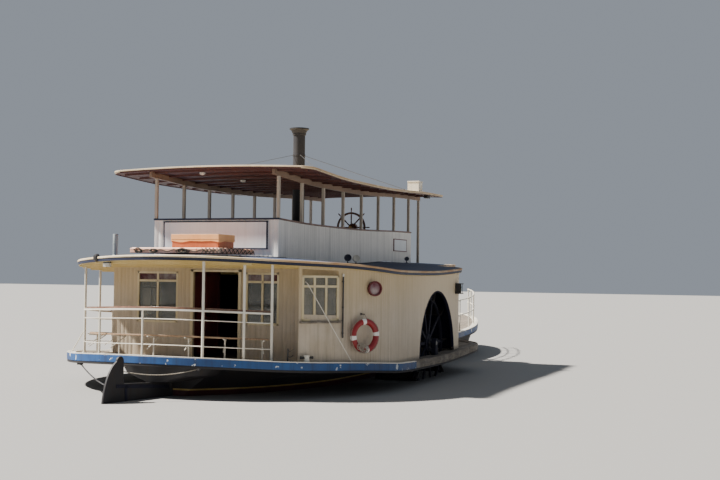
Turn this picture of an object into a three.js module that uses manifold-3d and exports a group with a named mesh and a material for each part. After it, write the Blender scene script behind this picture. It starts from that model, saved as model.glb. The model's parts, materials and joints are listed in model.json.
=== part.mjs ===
import * as THREE from 'three';
import { mergeVertices } from 'three/addons/utils/BufferGeometryUtils.js';
import Module from 'manifold-3d';

const wasm = await Module();
wasm.setup();

// A side-wheel paddle steamer, in millimetres. Stations run forward from the aft edge of the deck,
// y is to port, and z is up from the flat bottom of the hull. Angles round the stern are in degrees
// from the aft apex, positive to starboard.
const bowStation = 22200;
const deckRadius = 4150;
const deckHeight = 1250;
const deckThickness = 70;
const guardThickness = 60;
const guardAbove = 10;
const guardBelow = 150;
const roofRadius = 3950;
const rimThickness = 50;
const rimBottom = 3300;
const rimTop = 3420;
const ceilingHeight = 3340;
const roofCamber = 220;
const gap = 0.3;
const camberGap = 5;

// Rise of the decks along the length. Columns: station, rise.
const sheerLine = [
  [-1500, 415], [0, 280], [1000, 190], [2500, 120], [4150, 20], [5500, 0], [7500, 10], [9000, 70],
  [10500, 150], [13000, 220], [16500, 340], [19000, 460], [22200, 620],
];

// Hull sections. Columns: station, half-breadth at the deck, half-breadth and height at the turn,
// half-breadth and height at the floor.
const hullSections = [
  [140, 600, 520, 1150, 300, 1010],
  [760, 1280, 1130, 1150, 510, 985],
  [810, 1310, 300, 650, 60, 200],
  [1800, 1800, 1150, 650, 350, 90],
  [3200, 2130, 1850, 650, 1150, 0],
  [5000, 2300, 2200, 650, 1750, 0],
  [12500, 2300, 2200, 650, 1800, 0],
  [16500, 2130, 1850, 650, 1350, 0],
  [19000, 1600, 1150, 650, 700, 0],
  [21000, 800, 420, 650, 160, 60],
  [21950, 80, 60, 650, 40, 260],
];

const rudder = { station: 700, angle: 10.4, reach: 2020, thickness: 50, stockRadius: 35, heelHole: 43 };
const wheel = { station: 7600, height: 1560, radius: 1450, inner: 2560, outer: 3660, floats: 10, shaft: 60 };
const heel = { aft: 600, fore: 2000, half: 55, low: 20, high: 120 };
const wallHalf = 3855;
const wallThickness = 60;
const cabinHalf = 2400;
const bulkhead = { aft: 2230, fore: 12600, thickness: 60 };
const box = { aft: 4630, straightEnd: 9250, end: 10350, archStation: 7470, archHalf: 1400, archRise: 1640 };
const wheelCase = { aft: 5950, fore: 9250, half: 2410, thickness: 40 };
const wheelSlot = { aft: 6010, fore: 9190, inner: 2440, outer: 3680 };
const quarterWall = { start: 44.8, windowStart: 45.2, windowEnd: 59.6, sill: 2300, head: 3280 };
const aftDoor = { port: 280, starboard: -870, head: 3330, leaf: 40 };
const foreDoor = { half: 460, head: 3250, leaf: 40 };
const parapet = { aft: 2680, fore: 11850, half: 1600, thickness: 50, top: 4480, cap: 40, rise: 0.5 };
const frame = { first: 2680, pitch: 1283, count: 8, last: 12580, size: 70, beam: 5440, beamDepth: 120 };
const upperRoof = { aft: 2250, fore: 12750, half: 2600, edge: 85, camber: 120, rise: 0.8 };
const funnel = { station: 7250, radius: 160, top: 7230, capRadius: 265 };
const helm = { station: 11150, height: 4720, radius: 600 };
const degrees = THREE.MathUtils.degToRad;
const tail = rudder.reach * Math.cos(degrees(rudder.angle))
  + rudder.thickness / 2 * Math.sin(degrees(rudder.angle));
const midStation = (bowStation + rudder.station - tail) / 2;

const colours = {
  hull: 0x2a2b2e, guard: 0x2a5fae, timber: 0x8a7a63, wall: 0xe2dccb, cream: 0xe6dcbb, dark: 0x1b2333,
  steel: 0x55585c, float: 0x6e5a48, roof: 0x2a3b60, white: 0xf1efe9, brown: 0x5e3a26, seat: 0x9a7750,
  tan: 0xc9b48a, black: 0x202022, ring: 0xb9281f, orange: 0xc98a63, grey: 0x8f9699,
};

function finish(colour, roughness = 0.6, metalness = 0) {
  return new THREE.MeshStandardMaterial({ color: colours[colour], roughness, metalness });
}

function between(table, station) {
  const next = Math.max(1, table.findIndex((row) => row[0] >= station));
  const [low, high] = [table[next - 1], table[next]];
  const share = (station - low[0]) / (high[0] - low[0]);
  return low[1] + share * (high[1] - low[1]);
}

const sheer = (station) => between(sheerLine, station);
const deckZ = (station) => deckHeight + sheer(station);
const underDeckZ = (station) => deckZ(station) - deckThickness;
const ceilingZ = (station) => ceilingHeight + sheer(station);
const parapetTopZ = (station) => parapet.top + parapet.rise * sheer(station);
const eaveZ = (station) => frame.beam + upperRoof.rise * sheer(station);
const upperCeilingZ = (station) => eaveZ(station) + frame.beamDepth;
const onDeck = (station) => deckZ(station) + gap;
const underCeiling = (station) => ceilingZ(station) - gap;
const above = (level, rise) => (station, y) => level(station, y) + rise;

// The promenade roof's top: a camber over its half-width at each station.
function roofZ(station, y) {
  const half = station < roofRadius + 200
    ? Math.sqrt(Math.max(0, roofRadius ** 2 - (deckRadius - station) ** 2))
    : roofHalf(station);
  return rimTop + sheer(station) + roofCamber * Math.max(0, half ** 2 - y ** 2) / roofRadius ** 2;
}

function outward(geometry) {
  const { position } = geometry.attributes;
  const order = geometry.index.array;
  const [a, b, c] = [new THREE.Vector3(), new THREE.Vector3(), new THREE.Vector3()];
  let volume = 0;
  for (let i = 0; i < order.length; i += 3) {
    a.fromBufferAttribute(position, order[i]);
    b.fromBufferAttribute(position, order[i + 1]);
    c.fromBufferAttribute(position, order[i + 2]);
    volume += a.dot(b.cross(c));
  }
  if (volume < 0) {
    for (let i = 0; i < order.length; i += 3) [order[i], order[i + 1]] = [order[i + 1], order[i]];
  }
  return geometry;
}

function closedGeometry(triangles) {
  const same = (p, q) => p.every((value, i) => Math.abs(value - q[i]) < 0.01);
  const corners = triangles.filter(([a, b, c]) => !same(a, b) && !same(b, c) && !same(c, a));
  const geometry = new THREE.BufferGeometry();
  geometry.setAttribute('position', new THREE.Float32BufferAttribute(corners.flat(2), 3));
  return outward(mergeVertices(geometry, 0.01));
}

// A skin over sections with equal numbers of points; the two end sections are convex.
function loft(sections) {
  const triangles = [];
  const count = sections[0].length;
  for (let i = 0; i < sections.length - 1; i++) {
    const [here, there] = [sections[i], sections[i + 1]];
    for (let j = 0; j < count; j++) {
      const k = (j + 1) % count;
      triangles.push([here[j], here[k], there[k]], [here[j], there[k], there[j]]);
    }
  }
  const [first, last] = [sections[0], sections[sections.length - 1]];
  for (let j = 1; j < count - 1; j++) {
    triangles.push([first[0], first[j + 1], first[j]], [last[0], last[j], last[j + 1]]);
  }
  return closedGeometry(triangles);
}

function toSolid(geometry) {
  const plain = geometry.clone();
  plain.deleteAttribute('normal');
  plain.deleteAttribute('uv');
  const merged = mergeVertices(plain, 0.001);
  const order = merged.index.array;
  const kept = [];
  for (let i = 0; i < order.length; i += 3) {
    const [a, b, c] = [order[i], order[i + 1], order[i + 2]];
    if (a !== b && b !== c && c !== a) kept.push(a, b, c);
  }
  return new wasm.Manifold(new wasm.Mesh({
    numProp: 3,
    vertProperties: Float32Array.from(merged.attributes.position.array),
    triVerts: Uint32Array.from(kept),
  }));
}

function toGeometry(solid) {
  const mesh = solid.getMesh();
  const geometry = new THREE.BufferGeometry();
  geometry.setAttribute('position', new THREE.BufferAttribute(Float32Array.from(mesh.vertProperties), 3));
  geometry.setIndex(new THREE.BufferAttribute(Uint32Array.from(mesh.triVerts), 1));
  return geometry;
}

function joined(pieces) {
  return toGeometry(pieces.map(toSolid).reduce((whole, piece) => whole.add(piece)));
}

function cut(geometry, tools) {
  return toGeometry(tools.map(toSolid).reduce((whole, tool) => whole.subtract(tool), toSolid(geometry)));
}

function clipped(geometry, bounds) {
  return toGeometry(toSolid(geometry).intersect(toSolid(bounds)));
}

function mirrored(geometry) {
  const other = geometry.clone().scale(1, -1, 1);
  const order = other.index.array;
  for (let i = 0; i < order.length; i += 3) [order[i], order[i + 1]] = [order[i + 1], order[i]];
  return other;
}

function block(low, high) {
  const size = high.map((value, i) => value - low[i]);
  const middle = high.map((value, i) => (value + low[i]) / 2);
  return new THREE.BoxGeometry(...size).translate(...middle);
}

function rod(from, to, radius, sides = 8) {
  const [start, end] = [new THREE.Vector3(...from), new THREE.Vector3(...to)];
  const direction = end.clone().sub(start);
  const geometry = new THREE.CylinderGeometry(radius, radius, direction.length(), sides);
  const turn = new THREE.Quaternion().setFromUnitVectors(new THREE.Vector3(0, 1, 0), direction.normalize());
  return geometry.applyQuaternion(turn).translate(...start.add(end).multiplyScalar(0.5).toArray());
}

// A ring with a square section, turned about the y axis.
function hoop(innerRadius, outerRadius, width, sides) {
  const [low, high] = [-width / 2, width / 2];
  const profile = [[innerRadius, low], [outerRadius, low], [outerRadius, high], [innerRadius, high],
    [innerRadius, low]].map(([r, h]) => new THREE.Vector2(r, h));
  return new THREE.LatheGeometry(profile, sides);
}

// A shape drawn in station and height, run across the vessel between two values of y.
function sidePlate(shape, low, high, segments = 10) {
  const settings = { depth: high - low, bevelEnabled: false, curveSegments: segments };
  return new THREE.ExtrudeGeometry(shape, settings).rotateX(Math.PI / 2).translate(0, high, 0);
}

function onStern(angle, radius) {
  return [deckRadius - radius * Math.cos(degrees(angle)), -radius * Math.sin(degrees(angle))];
}

function sternArc(radius, from, to, steps) {
  return Array.from({ length: steps + 1 }, (_, i) => onStern(from + (to - from) * i / steps, radius));
}

// A wall on a plan path of [station, y], with its foot and head given as levels.
function wall(path, thickness, foot, head) {
  const sections = path.map(([s, y], i) => {
    const [before, after] = [path[Math.max(0, i - 1)], path[Math.min(path.length - 1, i + 1)]];
    const normals = [[before, [s, y]], [[s, y], after]]
      .map(([p, q]) => [p[1] - q[1], q[0] - p[0]])
      .filter(([a, b]) => Math.hypot(a, b) > 0)
      .map(([a, b]) => [a / Math.hypot(a, b), b / Math.hypot(a, b)]);
    const last = normals[normals.length - 1];
    const sum = [normals[0][0] + last[0], normals[0][1] + last[1]];
    const reach = thickness / (sum[0] ** 2 + sum[1] ** 2);
    const [left, right] = [1, -1].map((side) => [s + side * sum[0] * reach, y + side * sum[1] * reach]);
    return [[...left, foot(...left)], [...right, foot(...right)],
      [...right, head(...right)], [...left, head(...left)]];
  });
  return loft(sections);
}

function straight(from, to) {
  const knots = sheerLine.map(([station]) => station).filter((s) => s > from[0] && s < to[0]);
  return [from, ...knots.map((s) => [s, from[1] + (to[1] - from[1]) * (s - from[0]) / (to[0] - from[0])]), to];
}

function post(station, y, size, foot, head) {
  return wall([[station - size / 2, y], [station + size / 2, y]], size, foot, head);
}

// Plan outlines run from one end of the centreline to the other. Columns: station, half-width.
function withKnots(outline) {
  return outline.flatMap((point, i) => (i === 0 ? [point] : straight(outline[i - 1], point).slice(1)));
}

function inset(outline, distance) {
  const mirror = ([s, y]) => [s, -y];
  const moved = outline.map(([s, y], i) => {
    const before = outline[i - 1] ?? mirror(outline[1]);
    const after = outline[i + 1] ?? mirror(outline[i - 1]);
    const [a, b] = [[before, [s, y]], [[s, y], after]].map(([p, q]) => {
      const length = Math.hypot(q[0] - p[0], q[1] - p[1]);
      return [(q[1] - p[1]) / length, (p[0] - q[0]) / length];
    });
    const sum = [a[0] + b[0], a[1] + b[1]];
    const reach = 2 * distance / (sum[0] ** 2 + sum[1] ** 2);
    return [s + sum[0] * reach, Math.max(0, y + sum[1] * reach)];
  });
  return withKnots(moved);
}

function plate(outline, foot, head, lanes = 1) {
  const shares = Array.from({ length: lanes + 1 }, (_, i) => 2 * i / lanes - 1);
  return loft(outline.map(([s, half]) => [
    ...shares.map((share) => [s, share * half, foot(s, share * half)]),
    ...shares.toReversed().map((share) => [s, share * half, head(s, share * half)]),
  ]));
}

function edging(outline, thickness, foot, head) {
  const inside = plate(inset(outline, thickness), above(foot, -100), above(head, 100));
  return cut(plate(outline, foot, head), [inside]);
}

// Half-width of the foredeck where the sponsons fair into the hull. Columns: station, half-width.
const foredeckEdge = [[12600, 2580], [16500, 2300], [19000, 1720], [21000, 920], [bowStation, 0]];
const fairing = { start: 10300, end: 12600, steps: 6 };

function deckOutline() {
  const stern = sternArc(deckRadius, 0, -90, 12);
  const curve = Array.from({ length: fairing.steps }, (_, i) => {
    const share = i / fairing.steps;
    const wide = (1 + Math.cos(Math.PI * share)) / 2;
    return [fairing.start + share * (fairing.end - fairing.start),
      foredeckEdge[0][1] + wide * (deckRadius - foredeckEdge[0][1])];
  });
  return withKnots([...stern, ...curve, ...foredeckEdge]);
}

// The promenade roof narrows from the paddle boxes to the forward cabin by a quarter ellipse.
const roofPlan = {
  straightEnd: 9310, narrow: 10600, cabinAft: 10700, foreHalf: 2600, ovalHalf: 2400, fore: 13800, corner: 600,
};

function roofHalf(station) {
  if (station <= roofPlan.straightEnd) return roofRadius;
  const share = (station - roofPlan.straightEnd) / (roofPlan.narrow - roofPlan.straightEnd);
  const oval = roofPlan.ovalHalf + (roofRadius - roofPlan.ovalHalf) * Math.sqrt(Math.max(0, 1 - share ** 2));
  return Math.max(roofPlan.foreHalf, oval);
}

function roofOutline() {
  const stern = sternArc(roofRadius, 0, -90, 12);
  const oval = [0, 25, 45, 62, 74, 83].map((angle) => {
    const s = roofPlan.straightEnd + (roofPlan.narrow - roofPlan.straightEnd) * Math.sin(degrees(angle));
    return [s, roofHalf(s)];
  });
  const corner = [0, 30, 60, 90].map((angle) => [
    roofPlan.fore - roofPlan.corner + roofPlan.corner * Math.sin(degrees(angle)),
    roofPlan.foreHalf - roofPlan.corner + roofPlan.corner * Math.cos(degrees(angle)),
  ]);
  return withKnots([...stern, ...oval, [roofPlan.cabinAft, roofPlan.foreHalf], ...corner, [roofPlan.fore, 0]]);
}

function hullBody() {
  const sections = hullSections.map(([s, deck, turn, turnHeight, floor, floorHeight]) => {
    const top = underDeckZ(s) - gap;
    return [[s, -floor, floorHeight], [s, floor, floorHeight], [s, turn, turnHeight],
      [s, deck, top], [s, -deck, top], [s, -turn, turnHeight]];
  });
  const knotted = sections.flatMap((section, i) => {
    if (i === 0) return [section];
    const before = sections[i - 1];
    return straight([before[0][0], 0], [section[0][0], 0]).slice(1).map(([s]) => {
      const share = (s - before[0][0]) / (section[0][0] - before[0][0]);
      return section.map((point, j) => [s, before[j][1] + share * (point[1] - before[j][1]),
        j === 3 || j === 4 ? underDeckZ(s) - gap : before[j][2] + share * (point[2] - before[j][2])]);
    });
  });
  const keel = block([heel.aft, -heel.half, heel.low], [heel.fore, heel.half, heel.high]);
  const holes = [[heel.low - 10, heel.high + 80], [900, 1150]].map(([low, high]) => (
    rod([rudder.station, 0, low], [rudder.station, 0, high], rudder.heelHole, 12)));
  return cut(joined([loft(knotted), keel]), holes);
}

// The deck is laid in three lengths. The middle one lies between the wheel slots.
const deckLengths = {
  aft: { from: -100, to: wheelSlot.aft - gap, half: deckRadius },
  centre: { from: wheelSlot.aft, to: wheelSlot.fore, half: wheelSlot.inner },
  fore: { from: wheelSlot.fore + gap, to: bowStation, half: deckRadius },
};

function deckLength({ from, to, half }) {
  const planks = plate(inset(deckOutline(), guardThickness + gap), underDeckZ, deckZ);
  return clipped(planks, block([from, -half, 0], [to, half, 2 * deckHeight]));
}

function deckGuard() {
  return edging(deckOutline(), guardThickness, above(deckZ, -guardBelow), above(deckZ, guardAbove));
}

// Beams that carry the deck outside the hull. Columns: station, inner and outer y.
const sponsonBeams = [
  [3760, 2225, 3990], [4500, 2295, 4040], [5200, 2327, 4040], [5930, 2327, 4040], [9270, 2327, 4040],
  [9900, 2327, 4040],
];

// The strip of deck outboard of a wheel slot.
function coveringBoard() {
  const edge = deckRadius - guardThickness - gap;
  const middle = (wheelSlot.outer + edge) / 2;
  return wall(straight([wheelSlot.aft + gap, middle], [wheelSlot.fore - gap, middle]),
    edge - wheelSlot.outer, above(underDeckZ, -20), deckZ);
}

// The bearer runs under the deck's edge and the shelf beside the hull, in two lengths that meet at
// the aft end of the wheel slot.
const sponson = {
  depth: 140, beamWidth: 100,
  bearer: { start: 3700, half: 3990, width: 130 }, shelf: { start: 4400, half: 2360, width: 90 },
  aft: { from: 0, to: wheelSlot.aft - gap }, fore: { from: wheelSlot.aft + gap, to: 9950 },
};

function sponsonFrame({ from, to }) {
  const foot = above(underDeckZ, -sponson.depth);
  const head = above(underDeckZ, -gap);
  const beams = sponsonBeams.filter(([s]) => s > from && s < to).map(([s, inner, outer]) => (
    wall([[s, inner], [s, outer]], sponson.beamWidth, foot, head)));
  const runs = [sponson.bearer, sponson.shelf].map(({ start, half, width }) => (
    wall(straight([Math.max(from, start), half], [to, half]), width, foot, head)));
  return joined([...beams, ...runs]);
}

function rudderBlade() {
  const outline = new THREE.Shape();
  outline.moveTo(20, 150);
  outline.lineTo(20, 950);
  outline.lineTo(-1380, 1020);
  outline.lineTo(-1400, 1480);
  outline.absarc(-1500, 1480, 100, 0, Math.PI, false);
  outline.quadraticCurveTo(-1900, 1300, -1990, 650);
  outline.lineTo(-rudder.reach, 150);
  outline.closePath();
  const half = rudder.thickness / 2;
  const blade = sidePlate(outline, -half, half, 6);
  const stock = rod([0, 0, 60], [0, 0, 1110], rudder.stockRadius, 12);
  return joined([blade, stock]).rotateZ(degrees(-rudder.angle)).translate(rudder.station, 0, 0);
}

function paddleWheel() {
  const rims = [wheel.inner + 90, wheel.outer - 90];
  const pieces = rims.flatMap((y) => [
    hoop(1120, 1190, 60, 20).translate(0, y, 0),
    hoop(wheel.shaft + gap, 230, 120, 16).translate(0, y, 0),
  ]);
  for (let i = 0; i < wheel.floats; i++) {
    const angle = 360 * i / wheel.floats;
    const turn = (piece) => piece.rotateY(degrees(angle));
    rims.forEach((y) => pieces.push(turn(block([150, y - 20, -35], [1400, y + 20, 35]))));
    pieces.push(turn(block([1130, wheel.inner, 20], [wheel.radius - 4, wheel.outer, 60])));
  }
  return joined(pieces).translate(wheel.station, 0, wheel.height);
}

function paddleShaft() {
  const end = wheel.outer + 170;
  return rod([wheel.station, -end, wheel.height], [wheel.station, end, wheel.height], wheel.shaft, 16);
}

function shaftBearing() {
  const low = wheel.outer + 55;
  const stand = wall([[wheel.station - 130, low + 60], [wheel.station + 130, low + 60]], 120, onDeck,
    () => wheel.height + 130);
  const bore = rod([wheel.station, low - 50, wheel.height], [wheel.station, low + 200, wheel.height],
    wheel.shaft + 6, 16);
  return cut(stand, [bore]);
}

function wheelCaseWall() {
  const path = [[wheelCase.aft, wallHalf - 40], [wheelCase.aft, wheelCase.half],
    ...straight([wheelCase.aft, wheelCase.half], [wheelCase.fore, wheelCase.half]).slice(1),
    [wheelCase.fore, wallHalf - 40]];
  const shell = wall(path, wheelCase.thickness, onDeck, underCeiling);
  const hole = rod([wheel.station, wheelCase.half - 100, wheel.height],
    [wheel.station, wheelCase.half + 100, wheel.height], wheel.shaft + 30, 16);
  return cut(shell, [hole]);
}

function quarterWallStarboard() {
  const { start, windowStart, windowEnd, sill, head } = quarterWall;
  const path = [start, windowStart, windowEnd, 66, 72, 78, 84, 90].map((angle) => onStern(angle, wallHalf));
  const shell = wall(path, wallThickness, above(onDeck, 1), above(underCeiling, -1));
  return cut(shell, [quarterWindowBlock(windowStart + 0.6, windowEnd - 0.6, sill, head, 200)]);
}

// A flat block set between two angles of the stern wall.
function quarterWindowBlock(from, to, low, high, thickness) {
  const [[s1, y1], [s2, y2]] = [onStern(from, wallHalf), onStern(to, wallHalf)];
  return wall([[s1, y1], [s2, y2]], thickness, () => low, () => high);
}

// A glazed frame of the given width in its own plane, with upright bars between its lights.
function glazedFrame(width, low, high, lights, transom) {
  const [rim, depth, glass] = [50, 44, 12];
  const pieces = [block([-width / 2, -glass / 2, low], [width / 2, glass / 2, high])];
  const bars = Array.from({ length: lights + 1 }, (_, i) => -width / 2 + i * (width - rim) / lights);
  bars.forEach((x) => pieces.push(block([x, -depth / 2, low], [x + rim, depth / 2, high])));
  [low, high - rim, transom].forEach((z) => {
    pieces.push(block([-width / 2, -depth / 2, z], [width / 2, depth / 2, z + rim]));
  });
  return joined(pieces);
}

function quarterWindow() {
  const { windowStart, windowEnd, sill, head } = quarterWall;
  const [first, second] = [windowStart + 0.65, windowEnd - 0.65].map((angle) => onStern(angle, wallHalf));
  const width = Math.hypot(second[0] - first[0], second[1] - first[1]);
  const turn = Math.atan2(second[1] - first[1], second[0] - first[0]);
  return glazedFrame(width, sill + gap, head - gap, 3, head - 280)
    .rotateZ(turn).translate((first[0] + second[0]) / 2, (first[1] + second[1]) / 2, 0);
}

function boxWallStarboard() {
  const oval = [15, 30, 45, 60, 75, 90].map((angle) => [
    box.straightEnd + (box.end - box.straightEnd) * Math.sin(degrees(angle)),
    -cabinHalf - (wallHalf - cabinHalf) * Math.cos(degrees(angle))]);
  const side = straight([deckRadius + 2, -wallHalf], [box.straightEnd, -wallHalf]);
  return cut(wall([...side, ...oval], wallThickness, above(onDeck, 1), above(underCeiling, -1)),
    [archBlock()]);
}

function archBlock() {
  const arch = new THREE.Shape();
  const foot = deckHeight - 100;
  arch.moveTo(box.archStation + box.archHalf, foot);
  arch.lineTo(box.archStation + box.archHalf, deckHeight);
  arch.absellipse(box.archStation, deckHeight, box.archHalf, box.archRise, 0, Math.PI, false, 0);
  arch.lineTo(box.archStation - box.archHalf, foot);
  return sidePlate(arch, -wallHalf - 100, -wallHalf + 100, 12);
}

function boxWallPort() {
  const whole = mirrored(boxWallStarboard());
  const aft = block([deckRadius - 100, wallHalf - 200, 1000], [box.aft, wallHalf + 200, 4000]);
  const end = wall([[box.aft + 30, cabinHalf + 30], [box.aft + 30, wallHalf]], wallThickness,
    above(onDeck, 1), above(underCeiling, -1));
  return joined([cut(whole, [aft]), end]);
}

// Window and door openings in the aft bulkhead. Columns: port y, starboard y, sill, head.
const aftOpenings = [[1780, 690, 2150, 3330], [-1050, -1880, 2150, 3330]];

function aftBulkhead() {
  const half = bulkhead.thickness / 2;
  const shell = wall([[bulkhead.aft, cabinHalf + 25], [bulkhead.aft, -3280]], bulkhead.thickness,
    onDeck, underCeiling);
  const windows = aftOpenings.map(([port, starboard, sill, head]) => (
    block([bulkhead.aft - 100, starboard, sill], [bulkhead.aft + 100, port, head])));
  const doorway = block([bulkhead.aft - 100, aftDoor.starboard, deckHeight - 50],
    [bulkhead.aft + half + 50, aftDoor.port, aftDoor.head]);
  return cut(shell, [...windows, doorway]);
}

function aftWindow(row) {
  const [port, starboard, sill, head] = aftOpenings[row];
  return glazedFrame(port - starboard - 2 * gap, sill + gap, head - gap, 2, head - 240)
    .rotateZ(Math.PI / 2).translate(bulkhead.aft, (port + starboard) / 2, 0);
}

function doorLeaf(width, low, high, thickness) {
  const panel = block([0, -thickness / 2, low], [width, thickness / 2, high]);
  const [margin, recess] = [110, 12];
  const panels = [[low + 140, low + 800], [low + 940, high - 130]].flatMap(([foot, head]) => (
    [-1, 1].map((side) => block(
      [margin, Math.min(side * (thickness / 2 - recess), side * thickness), foot],
      [width - margin, Math.max(side * (thickness / 2 - recess), side * thickness), head]))));
  return cut(panel, panels);
}

function aftDoorLeaf() {
  const hinge = aftDoorHinge();
  return doorLeaf(aftDoor.port - aftDoor.starboard + 80, deckZ(bulkhead.aft) + 25, aftDoor.head + 15,
    aftDoor.leaf).translate(hinge[0], hinge[1], 0);
}

function aftDoorHinge() {
  return [bulkhead.aft + bulkhead.thickness / 2 + 8 + aftDoor.leaf / 2, aftDoor.port + 40];
}

function portCabinWall() {
  const path = straight([bulkhead.aft + 31, cabinHalf], [wheelCase.aft - 21, cabinHalf]);
  const shell = wall(path, 50, onDeck, underCeiling);
  return cut(shell, [block([3300, cabinHalf - 100, 2200], [4300, cabinHalf + 100, 3150])]);
}

// Windows in each side of the forward cabin. Columns: aft station, fore station.
const foreCabinWindows = [[10750, 11400], [11700, 12300]];

function foreCabinWall() {
  const path = straight([box.end + 35, -cabinHalf], [bulkhead.fore - 31, -cabinHalf]);
  const shell = wall(path, wallThickness, onDeck, underCeiling);
  return cut(shell, foreCabinWindows.map(([aft, fore]) => (
    block([aft, -cabinHalf - 100, 2350], [fore, -cabinHalf + 100, 3150]))));
}

// Openings in the forward bulkhead beside its door. Columns: starboard y, port y, sill, head.
const foreOpenings = [[-1950, -850, 2350, 3250], [850, 1950, 2350, 3250]];

function foreBulkhead() {
  const shell = wall([[bulkhead.fore, -cabinHalf - 30], [bulkhead.fore, cabinHalf + 30]],
    bulkhead.thickness, onDeck, underCeiling);
  const holes = foreOpenings.map(([low, high, sill, head]) => (
    block([bulkhead.fore - 100, low, sill], [bulkhead.fore + 100, high, head])));
  const doorway = block([bulkhead.fore - 100, -foreDoor.half, deckHeight],
    [bulkhead.fore + 100, foreDoor.half, foreDoor.head]);
  return cut(shell, [...holes, doorway]);
}

function foreDoorHinge() {
  return [bulkhead.fore + foreDoor.leaf / 2, foreDoor.half - 15];
}

function foreDoorLeaf() {
  const [s, y] = foreDoorHinge();
  return doorLeaf(2 * (foreDoor.half - 15), deckZ(bulkhead.fore) + 50, foreDoor.head - 15, foreDoor.leaf)
    .rotateZ(-Math.PI / 2).translate(s - foreDoor.leaf / 2, y, 0);
}

// The paddle shaft crosses between the boiler, which lies under the funnel, and the engine.
const boiler = { aft: 5250, fore: 7450, radius: 620, height: 2060, saddles: [5600, 7000], saddleHalf: 450 };
const engine = {
  aft: 7950, fore: 9000, width: 1100, top: 1560,
  cylinder: { aft: 8150, fore: 8950, half: 190, y: 290, low: 1500, high: 1960 },
};

function boilerBody() {
  const { aft, fore, radius, height, saddles, saddleHalf } = boiler;
  const barrel = rod([aft, 0, height], [fore, 0, height], radius, 20);
  const feet = saddles.map((s) => wall([[s, -saddleHalf], [s, saddleHalf]], 160, onDeck, () => height - 300));
  return joined([barrel, ...feet]);
}

function engineBody() {
  const { aft, fore, width, top, cylinder } = engine;
  const bed = wall(straight([aft, 0], [fore, 0]), width, onDeck, () => top);
  const cylinders = [-cylinder.y, cylinder.y].map((y) => (
    block([cylinder.aft, y - cylinder.half, cylinder.low], [cylinder.fore, y + cylinder.half, cylinder.high])));
  return joined([bed, ...cylinders]);
}

const panelOutline = () => inset(roofOutline(), rimThickness + gap);

function promenadeRoof() {
  const panel = plate(panelOutline(), ceilingZ, roofZ, 8);
  const flue = rod([funnel.station, 0, 3000], [funnel.station, 0, 4000], funnel.radius + 20, 24);
  return cut(panel, [flue]);
}

function roofRim() {
  return edging(roofOutline(), rimThickness,
    (s) => rimBottom + sheer(s), (s) => rimTop + sheer(s));
}

// Angles of the full-height posts round the stern porch and of the short stanchions.
const porchPosts = [-80, -55, 14.2, 27.5, 36.5];
const railAngles = { from: -90, to: 36.5, stanchions: [-90, -31, -7.8], steps: 12 };
const rail = { radius: 3750, post: 60, low: 250, middle: 800, top: 1000, height: 40 };

function sternPost(angle, size, head) {
  const [s, y] = onStern(angle, rail.radius);
  const [ds, dy] = [Math.sin(degrees(angle)) * size / 2, -Math.cos(degrees(angle)) * size / 2];
  return wall([[s - ds, y - dy], [s + ds, y + dy]], size, onDeck, head);
}

function sternRailFrame() {
  const posts = porchPosts.map((angle) => sternPost(angle, rail.post, underCeiling));
  const stanchions = railAngles.stanchions.map((angle) => (
    sternPost(angle, 45, above(onDeck, rail.top))));
  const arc = sternArc(rail.radius, railAngles.from, railAngles.to, railAngles.steps);
  const run = [...arc.toReversed(), [box.aft - 5, rail.radius]].toReversed();
  const rails = [[rail.low, 30], [rail.middle, 30], [rail.top, 60]].map(([height, width]) => (
    wall(run, width, above(deckZ, height), above(deckZ, height + rail.height))));
  return joined([...posts, ...stanchions, ...rails]);
}

function sternHandrail() {
  const arc = sternArc(rail.radius - 82, railAngles.from, railAngles.to, railAngles.steps);
  const foot = rail.top + rail.height + 5;
  return wall(arc, 90, above(deckZ, foot), above(deckZ, foot + 40));
}

// The porch seat, and the angles of the brackets that carry it.
const porchSeat = { radius: 3480, width: 330, from: -86, to: 36 };
const seatBrackets = [-84, -64, -44, -24, -6, 8, 21, 34];

function sternBench() {
  const { radius, width, from, to } = porchSeat;
  const seat = wall(sternArc(radius, from, to, 12), width, above(deckZ, 450), above(deckZ, 490));
  const legs = seatBrackets.map((angle) => {
    const [s, y] = onStern(angle, radius + 20);
    return post(s, y, 50, onDeck, above(deckZ, 470));
  });
  return joined([seat, ...legs]);
}

// Posts of the foredeck rail. Column: station.
const bowPosts = [13300, 14800, 16300, 17800, 19200, 20400, 20950];
const bowRail = { inset: 160, low: 500, top: 980, post: 50 };

function bowRailSide() {
  const line = inset(deckOutline(), bowRail.inset).filter(([s]) => s > 12650 && s < bowStation);
  const at = (s) => -between(line, s);
  const run = [[bowPosts[0], at(bowPosts[0])], ...line.filter(([s]) => s > bowPosts[0] + 1
    && s < bowPosts.at(-1) - 1).map(([s, y]) => [s, -y]), [bowPosts.at(-1), at(bowPosts.at(-1))]];
  const posts = bowPosts.map((s) => post(s, at(s), bowRail.post, onDeck, above(onDeck, bowRail.top)));
  const rails = [bowRail.low, bowRail.top].map((height) => (
    wall(run, 40, above(deckZ, height), above(deckZ, height + 40))));
  return joined([...posts, ...rails]);
}

const stair = { foot: 15250, head: 13860, y: -1200, width: 720, treads: 9, stringer: 45 };

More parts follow.
